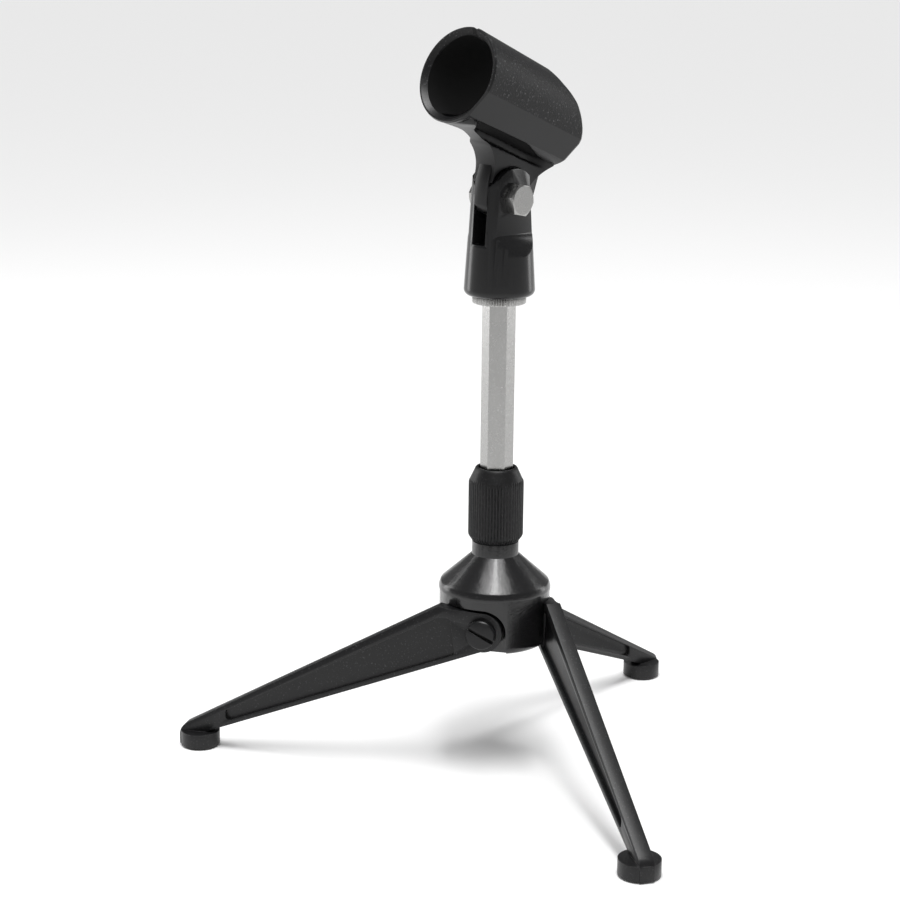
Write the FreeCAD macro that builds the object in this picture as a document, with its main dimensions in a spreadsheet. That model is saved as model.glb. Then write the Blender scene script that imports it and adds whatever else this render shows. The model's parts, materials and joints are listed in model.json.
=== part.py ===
"""Folding desktop microphone stand: hub, three legs, hexagon rod with clutch, and tilting mic holder.

Millimetres. The origin is on the stand's axis at floor level and +Z is up. The pivot bolt of the
mic holder lies along X with its head on the +X side, and the holder opens toward -Y.
"""
import FreeCAD, Part

import math
import os
import re

import Sketcher

Vector = FreeCAD.Vector
Rotation = FreeCAD.Rotation
Placement = FreeCAD.Placement

X_AXIS = Vector(1, 0, 0)
Z_AXIS = Vector(0, 0, 1)
ORIGIN = Vector(0, 0, 0)

SIZES = {
    # rod
    "rod_across_flats": 10.0,
    "rod_corner_round": 0.4,
    "rod_turn": 10.0,
    "rod_length": 102.9,
    "rod_foot_rise": 17.4,
    "rod_travel_up": 8.0,
    # hub
    "hub_radius": 19.6,
    "hub_foot_height": 44.6,
    "hub_skirt_length": 20.2,
    "hub_skirt_inset": 0.25,
    "hub_lip_height": 0.9,
    "hub_shoulder_inset": 0.6,
    "hub_shoulder_rise": 1.8,
    "hub_cone_rise": 9.7,
    "hub_neck_length": 4.6,
    "hub_neck_step": 0.86,
    "hub_foot_round": 3.0,
    "hub_shoulder_round": 1.6,
    "hub_bore_clearance": 0.33,
    "pocket_depth": 5.6,
    "pocket_gap": 1.1,
    # clutch
    "sleeve_wall": 2.22,
    "sleeve_foot_inset": 1.5,
    "sleeve_foot_chamfer_height": 2.1,
    "sleeve_rib_length": 21.8,
    "sleeve_shoulder_inset": 0.35,
    "sleeve_neck_wall": 1.1,
    "sleeve_neck_rise": 4.2,
    "sleeve_lip_rise": 0.5,
    "sleeve_mouth_clearance": 0.53,
    "stub_wall": 1.2,
    "stub_length": 14.1,
    "collet_height": 9.6,
    "collet_top_wall": 0.68,
    "collet_slit_width": 1.0,
    "collet_slit_depth": 6.5,
    "thread_clearance": 0.08,
    "cone_clearance": 0.25,
    "flats_clearance": 0.05,
    # legs
    "leg_first_azimuth": 90.0,
    "leg_thickness": 5.0,
    "leg_clearance": 0.1,
    "pivot_rise": 8.1,
    "eye_wall": 2.0,
    "root_apex_reach": 15.6,
    "root_apex_lift": 0.2,
    "root_shelf_reach": 12.5,
    "root_shelf_gap": 0.45,
    "leg_under_inset": 0.16,
    "toe_height": 6.85,
    "heel_height": 6.0,
    "flange_width": 1.7,
    "web_recess_depth": 1.45,
    "web_corner_round": 1.2,
    "web_start_gap": 2.6,
    "web_end_gap": 10.6,
    "foot_reach": 104.6,
    "foot_radius": 7.0,
    "foot_disc_height": 5.6,
    "toe_round": 5.0,
    "pad_inset": 1.8,
    "pad_depth": 1.6,
    "pad_proud": 0.4,
    "pad_edge_chamfer": 0.3,
    # leg pivots
    "pivot_shank_radius": 2.5,
    "pivot_hole_wall": 1.2,
    "pivot_head_overhang": 2.7,
    "pivot_head_height": 3.0,
    "pivot_head_chamfer": 0.5,
    "driver_slot_width": 1.2,
    "driver_slot_depth": 1.3,
    "driver_slot_turn": -26.0,
    "running_clearance": 0.05,
    "friction_washer_width": 2.5,
    "friction_washer_thickness": 0.8,
    # rod stop
    "stop_washer_overlap": 0.6,
    "stop_washer_thickness": 1.5,
    "stop_clearance": 0.3,
    "stop_screw_radius": 2.0,
    "stop_screw_length": 10.0,
    "stop_head_overhang": 1.5,
    "stop_head_height": 2.6,
    "stop_socket_across_flats": 2.5,
    "stop_socket_depth": 1.4,
    # thread at the top of the rod
    "stud_radius": 7.94,
    "stud_length": 15.5,
    "stud_spigot_radius": 4.0,
    "stud_spigot_length": 11.0,
    "stud_chamfer": 0.8,
    "ring_wall": 1.2,
    "ring_height": 2.6,
    "ring_chamfer": 0.35,
    "insert_wall": 1.3,
    "insert_length": 13.5,
    "seat_clearance": 0.05,
    # clip base
    "yoke_wall": 2.93,
    "yoke_draft_ratio": 0.0655,
    "yoke_foot_round": 2.2,
    "bolt_rise": 33.05,
    "ear_arch_radius": 10.2,
    "ear_thickness": 3.55,
    "ear_crease_drop": 11.8,
    "ear_ramp_drop": 19.2,
    "ear_ramp_run": 5.2,
    "fork_slot_width": 5.9,
    "fork_slot_drop": 15.1,
    # pivot bolt
    "bolt_radius": 3.0,
    "bolt_head_across_flats": 10.0,
    "bolt_head_height": 3.9,
    "bolt_head_turn": 18.0,
    "bolt_end_proud": 0.6,
    "nut_thickness": 5.0,
    "nut_pocket_depth": 1.5,
    # mic holder
    "holder_tilt": 21.6,
    "holder_axis_height": 30.9,
    "holder_front_reach": 35.75,
    "holder_back_reach": 16.5,
    "holder_front_wall": 2.4,
    "holder_back_wall": 1.3,
    "holder_bore_radius": 13.8,
    "holder_entry_chamfer": 1.5,
    "holder_slit_width": 2.2,
    "holder_slit_offset": 2.4,
    "tongue_clearance": 0.06,
    "neck_cheek": 1.4,
    "neck_recess_gap": 0.7,
    "neck_front_reach": 11.2,
    "neck_back_reach": 12.6,
    "neck_foot_drop": 6.9,
    "neck_toe_cut": 2.4,
    "neck_toe_rise": 2.0,
    "neck_flare_radius": 12.9,
    "neck_flare_top": 15.05,
    "neck_back_flare": 2.2,
    "neck_back_flare_rise": 12.6,
    "back_slant_start": 6.6,
    "back_slant_run": 6.6,
}

# Heights above the floor, each stacked on the one before.
HUB_RIM = "(hub_foot_height + hub_skirt_length)"
HUB_SHOULDER = f"({HUB_RIM} + hub_shoulder_rise)"
HUB_CONE_TOP = f"({HUB_SHOULDER} + hub_cone_rise)"
SLEEVE_FOOT = f"({HUB_CONE_TOP} + hub_neck_length)"
SLEEVE_RIB_TOP = f"({SLEEVE_FOOT} + sleeve_rib_length)"
SLEEVE_NECK = f"({SLEEVE_RIB_TOP} + sleeve_neck_rise)"
SLEEVE_TOP = f"({SLEEVE_NECK} + sleeve_lip_rise)"
STUB_TOP = f"({SLEEVE_FOOT} + stub_length)"
COLLET_TOP = f"({STUB_TOP} + collet_height)"
ROD_FOOT = "(hub_foot_height + rod_foot_rise)"
ROD_TOP = f"({ROD_FOOT} + rod_length)"
STOP_CEILING = f"({ROD_FOOT} + rod_travel_up + stop_clearance)"
PIVOT_HEIGHT = "(hub_foot_height + pivot_rise)"
YOKE_FOOT = f"({ROD_TOP} + ring_height + seat_clearance)"
BOLT_HEIGHT = f"({YOKE_FOOT} + bolt_rise)"

# Radii round the rod, each outside the one before.
ROD_CORNER = "(rod_across_flats / 2 / cos(30deg))"
HUB_BORE = f"({ROD_CORNER} + hub_bore_clearance)"
STUB_RADIUS = f"({HUB_BORE} + stub_wall)"
HUB_NECK = f"({STUB_RADIUS} + hub_neck_step)"
SLEEVE_BORE = f"({STUB_RADIUS} + thread_clearance)"
SLEEVE_RADIUS = f"({SLEEVE_BORE} + sleeve_wall)"
SLEEVE_MOUTH = f"({ROD_CORNER} + sleeve_mouth_clearance)"
SLEEVE_NECK_RADIUS = f"({SLEEVE_MOUTH} + sleeve_neck_wall)"
COLLET_TOP_RADIUS = f"({ROD_CORNER} + collet_top_wall)"
STOP_RADIUS = f"({HUB_BORE} + stop_washer_overlap)"
COUNTERBORE = f"({STOP_RADIUS} + stop_clearance)"
THREAD_BORE = "(stud_radius + thread_clearance)"
INSERT_RADIUS = f"({THREAD_BORE} + insert_wall)"
YOKE_FOOT_RADIUS = f"({INSERT_RADIUS} + yoke_wall)"

# Leg and pivot places.
POCKET_WALL = "(hub_radius - pocket_depth)"
WASHER_RADIUS = "(pivot_shank_radius + friction_washer_width)"
EYE_RADIUS = f"({WASHER_RADIUS} + eye_wall)"
HEAD_RADIUS = "(pivot_shank_radius + pivot_head_overhang)"
POCKET_RADIUS = f"({EYE_RADIUS} + pocket_gap)"
POCKET_CEILING = f"({PIVOT_HEIGHT} + {POCKET_RADIUS})"
PIVOT_THREAD = f"({POCKET_WALL} - {COUNTERBORE} - pivot_hole_wall)"
LEG_INNER_FACE = f"({POCKET_WALL} + leg_clearance)"
LEG_OUTER_FACE = f"({LEG_INNER_FACE} + leg_thickness)"
LEG_MIDDLE = f"({LEG_INNER_FACE} + leg_thickness / 2)"
ROOT_APEX = f"({POCKET_CEILING} + root_apex_lift)"
ROOT_SHELF = f"({POCKET_CEILING} - root_shelf_gap)"
TOE_REACH = "(foot_reach + foot_radius)"
HEEL_REACH = "(foot_reach - foot_radius / 2)"
UNDER_START = f"({PIVOT_HEIGHT} - {EYE_RADIUS} + leg_under_inset)"
TOP_SLOPE = f"(({ROOT_APEX} - toe_height) / ({TOE_REACH} - root_apex_reach))"
UNDER_SLOPE = f"(({UNDER_START} - heel_height) / {HEEL_REACH})"

# Yoke and holder.
EAR_OUTER = "(fork_slot_width / 2 + ear_thickness)"
BOLT_BORE = "(bolt_radius + running_clearance)"
RECESS_RADIUS = "(ear_arch_radius + neck_recess_gap)"
TONGUE_HALF = "(fork_slot_width / 2 - tongue_clearance)"
NECK_HALF = "(fork_slot_width / 2 + neck_cheek)"
HOLDER_FRONT_RADIUS = "(holder_bore_radius + holder_front_wall)"
HOLDER_BACK_RADIUS = "(holder_bore_radius + holder_back_wall)"

doc = FreeCAD.newDocument("desktop_mic_stand")
sheet = doc.addObject("Spreadsheet::Sheet", "Sizes")
for row, (alias, size) in enumerate(SIZES.items(), start=1):
    sheet.set(f"A{row}", alias)
    sheet.set(f"B{row}", str(size))
    sheet.setAlias(f"B{row}", alias)
doc.recompute()


def linked(text):
    """An expression with each size's plain name turned into a reference to the sheet."""
    return re.sub(r"[a-z][a-z0-9_]*", lambda word: f"Sizes.{word[0]}" if word[0] in SIZES else word[0], text)


def value(text):
    """The number that an expression of size names gives now."""
    result = sheet.evalExpression(linked(text))
    return float(getattr(result, "Value", result))


def bind(feature, **expressions):
    """Bind properties of a feature to expressions of size names."""
    for name, text in expressions.items():
        feature.setExpression(name, linked(text))


# ------------------------------------------------------------------ the shared steps of modelling

parts = []


def new_body(label, placement=None):
    """A sub-part: its label names its file."""
    body = doc.addObject("PartDesign::Body", label)
    body.Label = label
    if placement:
        body.Placement = placement
    parts.append(body)
    return body


def new_sketch(body, name, plane, offset=None):
    """A sketch on one of the body's own origin planes, moved along the plane's normal by an expression."""
    sketch = body.newObject("Sketcher::SketchObject", name)
    origin_plane = [item for item in body.Origin.OriginFeatures if item.Role == plane][0]
    sketch.AttachmentSupport = (origin_plane, [""])
    sketch.MapMode = "FlatFace"
    if offset:
        sketch.setExpression("AttachmentOffset.Base.z", linked(offset))
    return sketch


def pin_point(sketch, edge, end, corner):
    """Hold one end of an edge at a corner given as a pair of expressions."""
    for kind, text in zip(("DistanceX", "DistanceY"), corner):
        place = sketch.addConstraint(Sketcher.Constraint(kind, -1, 1, edge, end, value(text)))
        sketch.setExpression(f"Constraints[{place}]", linked(text))


def outline(body, name, plane, corners, offset=None):
    """A closed sketch through corners, each a pair of expressions."""
    sketch = new_sketch(body, name, plane, offset)
    places = [Vector(value(across), value(up), 0) for across, up in corners]
    count = len(places)
    for edge in range(count):
        sketch.addGeometry(Part.LineSegment(places[edge], places[(edge + 1) % count]))
    for edge in range(count):
        sketch.addConstraint(Sketcher.Constraint("Coincident", edge, 2, (edge + 1) % count, 1))
        pin_point(sketch, edge, 1, corners[edge])
    return sketch


def circle(body, name, plane, centre, radius, offset=None):
    """A sketch of one circle."""
    sketch = new_sketch(body, name, plane, offset)
    middle = Vector(value(centre[0]), value(centre[1]), 0)
    sketch.addGeometry(Part.Circle(middle, Z_AXIS, value(radius)))
    size = sketch.addConstraint(Sketcher.Constraint("Radius", 0, value(radius)))
    sketch.setExpression(f"Constraints[{size}]", linked(radius))
    pin_point(sketch, 0, 3, centre)
    return sketch


def hexagon_corners(across_flats, turn):
    """The six corners of a hexagon whose flats face turn, turn + 60 and so on."""
    corners = []
    for step in range(6):
        angle = f"({turn} + {30 + 60 * step}) * 1deg"
        reach = f"({across_flats}) / 2 / cos(30deg)"
        corners.append((f"{reach} * cos({angle})", f"{reach} * sin({angle})"))
    return corners


def turned_corner(across, up, turn):
    """A corner turned about the middle of its sketch."""
    return (f"({across}) * cos({turn} * 1deg) - ({up}) * sin({turn} * 1deg)",
            f"({across}) * sin({turn} * 1deg) + ({up}) * cos({turn} * 1deg)")


def revolve(body, name, corners, plane="XZ_Plane", axis="V_Axis", cut=False):
    """Turn an outline about an axis of its own sketch, to add or to cut."""
    sketch = outline(body, f"{name}_outline", plane, corners)
    feature = body.newObject("PartDesign::Groove" if cut else "PartDesign::Revolution", name)
    feature.Profile = sketch
    feature.ReferenceAxis = (sketch, [axis])
    feature.Angle = 360
    doc.recompute()
    return feature


def pad(body, name, sketch, length, both_ways=False, reverse=False):
    """Give a sketch a thickness."""
    feature = body.newObject("PartDesign::Pad", name)
    feature.Profile = sketch
    feature.Midplane = both_ways
    feature.Reversed = reverse
    bind(feature, Length=length)
    doc.recompute()
    return feature


def pocket(body, name, sketch, length=None, both_ways=False, reverse=False):
    """Cut a sketch into the body, right through if no length is given, and prove that it cut."""
    before = body.Shape.Volume
    feature = body.newObject("PartDesign::Pocket", name)
    feature.Profile = sketch
    feature.Midplane = both_ways
    feature.Reversed = reverse
    if length:
        bind(feature, Length=length)
    else:
        feature.Type = "ThroughAll"
    doc.recompute()
    if not body.Shape.Volume < before - 1e-3:
        raise RuntimeError(f"{name} of {body.Label} cut nothing")
    return feature


def edges_where(body, test):
    """The names of the edges of the body's tip that pass a test."""
    return [f"Edge{number}" for number, edge in enumerate(body.Tip.Shape.Edges, start=1) if test(edge)]


def dress(body, kind, name, edges, **sizes):
    """A fillet or a chamfer on named edges of the tip."""
    if not edges:
        raise RuntimeError(f"{name} of {body.Label} found no edge")
    base = body.Tip
    feature = body.newObject(f"PartDesign::{kind}", name)
    feature.Base = (base, edges)
    bind(feature, **sizes)
    doc.recompute()
    return feature


def ring_edge(radius, height):
    """A test for a full circle about the body's Z axis."""
    def test(edge):
        curve = edge.Curve
        if not isinstance(curve, Part.Circle):
            return False
        on_axis = abs(curve.Center.x) < 0.01 and abs(curve.Center.y) < 0.01
        return on_axis and abs(curve.Radius - radius) < 0.01 and abs(curve.Center.z - height) < 0.01
    return test


# ------------------------------------------------------------------------------- the cast hub

LEG_COUNT = 3


def leg_frame(number):
    """The frame of one leg: X runs out along it and Y to its counter-clockwise side."""
    azimuth = value("leg_first_azimuth") + 360 * number / LEG_COUNT
    return Placement(ORIGIN, Rotation(Z_AXIS, azimuth))


def make_hub():
    """A round casting with a neck, a bored stem for the clutch and a pocket for each leg."""
    body = new_body("hub")
    skirt = "hub_radius - hub_skirt_inset"
    revolve(body, "casting", [
        (COUNTERBORE, "hub_foot_height"),
        (skirt, "hub_foot_height"),
        (skirt, f"{HUB_RIM} - hub_lip_height"),
        ("hub_radius", f"{HUB_RIM} - hub_lip_height"),
        ("hub_radius", HUB_RIM),
        ("hub_radius - hub_shoulder_inset", HUB_SHOULDER),
        (HUB_NECK, HUB_CONE_TOP),
        (HUB_NECK, SLEEVE_FOOT),
        (STUB_RADIUS, SLEEVE_FOOT),
        (STUB_RADIUS, STUB_TOP),
        (HUB_BORE, STUB_TOP),
        (HUB_BORE, STOP_CEILING),
        (COUNTERBORE, STOP_CEILING),
    ])
    foot = edges_where(body, ring_edge(value(skirt), value("hub_foot_height")))
    dress(body, "Fillet", "foot_round", foot, Radius="hub_foot_round")
    shoulder = edges_where(body, ring_edge(value("hub_radius - hub_shoulder_inset"), value(HUB_SHOULDER)))
    dress(body, "Fillet", "shoulder_round", shoulder, Radius="hub_shoulder_round")

    beyond = "hub_radius + leg_thickness"
    depth = f"{beyond} - {POCKET_WALL}"
    sketch = outline(body, "pocket_outline", "XZ_Plane", [
        (f"-{POCKET_RADIUS}", "hub_foot_height - 1"),
        (beyond, "hub_foot_height - 1"),
        (beyond, POCKET_CEILING),
        ("0", POCKET_CEILING),
        ("0", PIVOT_HEIGHT),
        (f"-{POCKET_RADIUS}", PIVOT_HEIGHT),
    ], f"-({beyond})")
    straight = pocket(body, "leg_pocket", sketch, depth, reverse=True)
    sketch = circle(body, "eye_space_outline", "XZ_Plane", ("0", PIVOT_HEIGHT), POCKET_RADIUS,
                    f"-({beyond})")
    rounded = pocket(body, "eye_space", sketch, depth, reverse=True)
    sketch = circle(body, "pivot_hole_outline", "XZ_Plane", ("0", PIVOT_HEIGHT), "pivot_shank_radius",
                    f"-({beyond})")
    tapped = pocket(body, "pivot_hole", sketch, f"{depth} + {PIVOT_THREAD}", reverse=True)

    pattern = body.newObject("PartDesign::PolarPattern", "leg_places")
    pattern.Originals = [straight, rounded, tapped]
    pattern.Axis = ([item for item in body.Origin.OriginFeatures if item.Role == "Z_Axis"][0], [""])
    pattern.Angle = 360
    pattern.Occurrences = LEG_COUNT
    body.Tip = pattern
    doc.recompute()
    body.Placement = leg_frame(0)


# ------------------------------------------------------------------------------------ the legs

def leg_top(reach):
    """The height of the leg's top edge at a reach from the axis."""
    return f"({ROOT_APEX} - {TOP_SLOPE} * ({reach} - root_apex_reach))"


def leg_under(reach):
    """The height of the leg's lower edge at a reach from the axis."""
    return f"({UNDER_START} - {UNDER_SLOPE} * ({reach}))"


def make_leg(number):
    """An I-section leg with a round eye at the root and a round foot at the toe."""
    body = new_body(f"leg_{number + 1}", leg_frame(number))
    beam = outline(body, "beam_outline", "XZ_Plane", [
        ("0", f"{PIVOT_HEIGHT} + {EYE_RADIUS}"),
        ("root_shelf_reach", ROOT_SHELF),
        ("root_apex_reach", ROOT_APEX),
        (TOE_REACH, "toe_height"),
        (TOE_REACH, "pad_proud"),
        ("foot_reach", "pad_proud"),
        (HEEL_REACH, "heel_height"),
        ("0", leg_under("0")),
    ], f"-{LEG_MIDDLE}")
    pad(body, "beam", beam, "leg_thickness", both_ways=True)
    toe = edges_where(body, lambda edge: abs(edge.CenterOfMass.x - value(TOE_REACH)) < 0.01
                      and abs(edge.CenterOfMass.z - value("toe_height")) < 0.01)
    dress(body, "Fillet", "toe", toe, Radius="toe_round")

    eye = circle(body, "eye_outline", "XZ_Plane", ("0", PIVOT_HEIGHT), EYE_RADIUS, f"-{LEG_MIDDLE}")
    pad(body, "eye", eye, "leg_thickness", both_ways=True)

    top_rim = f"flange_width * sqrt(1 + {TOP_SLOPE} ^ 2)"
    under_rim = f"flange_width * sqrt(1 + {UNDER_SLOPE} ^ 2)"
    start = f"({EYE_RADIUS} + web_start_gap)"
    end = "(foot_reach - web_end_gap)"
    web = [
        (f"{start} + flange_width", f"{ROOT_SHELF} - 2 * flange_width"),
        ("root_apex_reach", f"{ROOT_SHELF} - 2 * flange_width"),
        (end, f"{leg_top(end)} - {top_rim}"),
        (end, f"{leg_under(end)} + {under_rim}"),
        (start, f"{leg_under(start)} + {under_rim}"),
    ]
    for side, face, away in (("outer", LEG_OUTER_FACE, True), ("inner", LEG_INNER_FACE, False)):
        sketch = outline(body, f"{side}_web_outline", "XZ_Plane", web, f"-{face}")
        pocket(body, f"{side}_web", sketch, "web_recess_depth", reverse=away)
    corners = edges_where(body, lambda edge: abs(edge.Length - value("web_recess_depth")) < 0.001
                          and not isinstance(edge.Curve, Part.Circle))
    dress(body, "Fillet", "web_corners", corners, Radius="web_corner_round")

    disc = circle(body, "foot_outline", "XY_Plane", ("foot_reach", LEG_MIDDLE), "foot_radius", "pad_proud")
    pad(body, "foot", disc, "foot_disc_height - pad_proud")
    seat_radius = "foot_radius - pad_inset + seat_clearance"
    seat = circle(body, "pad_seat_outline", "XY_Plane", ("foot_reach", LEG_MIDDLE), seat_radius,
                  "pad_proud")
    pocket(body, "pad_seat", seat, "pad_depth", reverse=True)
    bore = circle(body, "bore_outline", "XZ_Plane", ("0", PIVOT_HEIGHT),
                  "pivot_shank_radius + running_clearance", f"-{LEG_OUTER_FACE}")
    pocket(body, "bore", bore, "leg_thickness", reverse=True)
    recess = circle(body, "washer_seat_outline", "XZ_Plane", ("0", PIVOT_HEIGHT),
                    f"{WASHER_RADIUS} + seat_clearance", f"-{LEG_INNER_FACE}")
    pocket(body, "washer_seat", recess, "friction_washer_thickness - leg_clearance / 2")


def make_foot_pad(number):
    """A rubber disc pressed into the foot."""
    body = new_body(f"foot_pad_{number + 1}", leg_frame(number))
    disc = circle(body, "pad_outline", "XY_Plane", ("foot_reach", LEG_MIDDLE), "foot_radius - pad_inset")
    pad(body, "disc", disc, "pad_proud + pad_depth")
    rim = edges_where(body, lambda edge: abs(edge.CenterOfMass.z) < 0.01)
    dress(body, "Chamfer", "rim", rim, Size="pad_edge_chamfer")


def pivot_frame(number, offset):
    """A frame on a leg's pivot whose Z runs outward, at a distance from the stand's middle plane."""
    at_pivot = Placement(Vector(0, value(offset), value(PIVOT_HEIGHT)), Rotation(X_AXIS, -90))
    return leg_frame(number).multiply(at_pivot)


def make_pivot_screw(number):
    """A slotted cheese head screw that the leg turns on, tapped into the hub."""
    body = new_body(f"pivot_screw_{number + 1}", pivot_frame(number, LEG_OUTER_FACE))
    shank = f"-(leg_thickness + leg_clearance + {PIVOT_THREAD}) + seat_clearance * 2"
    head = "pivot_head_height"
    revolve(body, "turned", [
        ("0", shank),
        ("pivot_shank_radius - seat_clearance / 2", shank),
        ("pivot_shank_radius - seat_clearance / 2", "running_clearance"),
        (HEAD_RADIUS, "running_clearance"),
        (HEAD_RADIUS, f"{head} - pivot_head_chamfer"),
        (f"{HEAD_RADIUS} - pivot_head_chamfer", head),
        ("0", head),
    ])
    reach = f"2 * {HEAD_RADIUS}"
    slot = outline(body, "slot_outline", "XY_Plane", [
        turned_corner(f"-{reach}", "-driver_slot_width / 2", "driver_slot_turn"),
        turned_corner(reach, "-driver_slot_width / 2", "driver_slot_turn"),
        turned_corner(reach, "driver_slot_width / 2", "driver_slot_turn"),
        turned_corner(f"-{reach}", "driver_slot_width / 2", "driver_slot_turn"),
    ], head)
    pocket(body, "driver_slot", slot, "driver_slot_depth")


def make_friction_washer(number):
    """A thin washer between the leg's eye and the hub."""
    body = new_body(f"friction_washer_{number + 1}", pivot_frame(number, POCKET_WALL))
    revolve(body, "disc", [
        ("pivot_shank_radius + running_clearance", "leg_clearance / 4"),
        (WASHER_RADIUS, "leg_clearance / 4"),
        (WASHER_RADIUS, "friction_washer_thickness"),
        ("pivot_shank_radius + running_clearance", "friction_washer_thickness"),
    ])


# ---------------------------------------------------------------------------- rod and its stop

def make_rod():
    """The hexagon rod, tapped at the foot for the stop and at the top for the thread stud."""
    body = new_body("rod")
    section = outline(body, "section", "XY_Plane", hexagon_corners("rod_across_flats", "rod_turn"),
                      ROD_FOOT)
    pad(body, "bar", section, f"{ROD_TOP} - {ROD_FOOT}")
    corners = edges_where(body, lambda edge: edge.Length > value(f"{ROD_TOP} - {ROD_FOOT}") - 0.01)
    dress(body, "Fillet", "corner_round", corners, Radius="rod_corner_round")
    foot = circle(body, "foot_hole_outline", "XY_Plane", ("0", "0"), "stop_screw_radius", ROD_FOOT)
    pocket(body, "foot_hole", foot, "stop_screw_length", reverse=True)
    top = circle(body, "top_hole_outline", "XY_Plane", ("0", "0"), "stud_spigot_radius", ROD_TOP)
    pocket(body, "top_hole", top, "stud_spigot_length")


def make_rod_stop():
    """A washer and a socket screw that keep the rod from being pulled out of the hub."""
    under = f"{ROD_FOOT} - stop_washer_thickness"
    washer = new_body("rod_stop_washer")
    revolve(washer, "disc", [
        ("stop_screw_radius + running_clearance", under),
        (STOP_RADIUS, under),
        (STOP_RADIUS, ROD_FOOT),
        ("stop_screw_radius + running_clearance", ROD_FOOT),
    ])
    screw = new_body("rod_stop_screw")
    tip = f"{ROD_FOOT} + stop_screw_length - seat_clearance * 4"
    revolve(screw, "turned", [
        ("0", f"{under} - stop_head_height"),
        ("stop_screw_radius + stop_head_overhang", f"{under} - stop_head_height"),
        ("stop_screw_radius + stop_head_overhang", under),
        ("stop_screw_radius - seat_clearance / 2", under),
        ("stop_screw_radius - seat_clearance / 2", tip),
        ("0", tip),
    ])
    socket = outline(screw, "socket_outline", "XY_Plane", hexagon_corners("stop_socket_across_flats", "0"),
                     f"{under} - stop_head_height")
    pocket(screw, "socket", socket, "stop_socket_depth", reverse=True)


# --------------------------------------------------------------------------------- the clutch

def make_clutch_sleeve():
    """The knurled nut whose cone squeezes the collet on the rod."""
    body = new_body("clutch_sleeve")
    cone_foot = STUB_TOP
    revolve(body, "turned", [
        (SLEEVE_BORE, f"{SLEEVE_FOOT} + seat_clearance"),
        (f"{SLEEVE_RADIUS} - sleeve_foot_inset", f"{SLEEVE_FOOT} + seat_clearance"),
        (SLEEVE_RADIUS, f"{SLEEVE_FOOT} + sleeve_foot_chamfer_height"),
        (SLEEVE_RADIUS, SLEEVE_RIB_TOP),
        (f"{SLEEVE_RADIUS} - sleeve_shoulder_inset", SLEEVE_RIB_TOP),
        (SLEEVE_NECK_RADIUS, SLEEVE_NECK),
        (f"{SLEEVE_NECK_RADIUS} - ({SLEEVE_TOP} - {SLEEVE_NECK})", SLEEVE_TOP),
        (SLEEVE_MOUTH, SLEEVE_TOP),
        (SLEEVE_MOUTH, f"{COLLET_TOP} + cone_clearance"),
        (f"{COLLET_TOP_RADIUS} + cone_clearance", f"{COLLET_TOP} + cone_clearance"),
        (SLEEVE_BORE, f"{cone_foot} + cone_clearance"),
    ])


def make_clutch_collet():
    """The slit plastic collet, a cone outside and a hexagon inside."""
    body = new_body("clutch_collet")
    foot = f"{STUB_TOP} + seat_clearance"
    revolve(body, "cone", [
        ("0", foot),
        (f"{SLEEVE_BORE} - cone_clearance", foot),
        (COLLET_TOP_RADIUS, COLLET_TOP),
        ("0", COLLET_TOP),
    ])
    opening = hexagon_corners("rod_across_flats + 2 * flats_clearance", "rod_turn")
    hexagon = outline(body, "hexagon", "XY_Plane", opening, foot)
    pocket(body, "bore", hexagon, reverse=True)
    slit = outline(body, "slit_outline", "XY_Plane", [
        ("0", "-collet_slit_width / 2"),
        (SLEEVE_RADIUS, "-collet_slit_width / 2"),
        (SLEEVE_RADIUS, "collet_slit_width / 2"),
        ("0", "collet_slit_width / 2"),
    ], COLLET_TOP)
    cut = pocket(body, "slit", slit, "collet_slit_depth")
    pattern = body.newObject("PartDesign::PolarPattern", "slits")
    pattern.Originals = [cut]
    pattern.Axis = ([item for item in body.Origin.OriginFeatures if item.Role == "Z_Axis"][0], [""])
    pattern.Angle = 360
    pattern.Occurrences = 6
    body.Tip = pattern
    doc.recompute()


# ------------------------------------------------------------------- thread, lock ring and yoke

def make_thread_stud():
    """The threaded stud on top of the rod, with a spigot in the rod."""
    body = new_body("thread_stud")
    top = f"{ROD_TOP} + stud_length"
    tip = f"{ROD_TOP} - stud_spigot_length + seat_clearance * 4"
    revolve(body, "turned", [
        ("0", tip),
        ("stud_spigot_radius - seat_clearance / 2", tip),
        ("stud_spigot_radius - seat_clearance / 2", ROD_TOP),
        ("stud_radius", ROD_TOP),
        ("stud_radius", f"{top} - stud_chamfer"),
        ("stud_radius - stud_chamfer", top),
        ("0", top),
    ])


def make_lock_ring():
    """The knurled ring that locks the yoke on the thread."""
    body = new_body("lock_ring")
    inner = THREAD_BORE
    foot = ROD_TOP
    top = f"{ROD_TOP} + ring_height"
    revolve(body, "turned", [
        (inner, foot),
        (f"({THREAD_BORE} + ring_wall) - ring_chamfer", foot),
        (f"{THREAD_BORE} + ring_wall", f"{foot} + ring_chamfer"),
        (f"{THREAD_BORE} + ring_wall", f"{top} - ring_chamfer"),
        (f"({THREAD_BORE} + ring_wall) - ring_chamfer", top),
        (inner, top),
    ])


def make_thread_insert():
    """The brass thread moulded in the yoke."""
    body = new_body("thread_insert")
    inner = THREAD_BORE
    foot = f"{YOKE_FOOT} + insert_wall"
    top = f"{foot} + insert_length"
    revolve(body, "turned", [(inner, foot), (INSERT_RADIUS, foot), (INSERT_RADIUS, top), (inner, top)])


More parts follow.
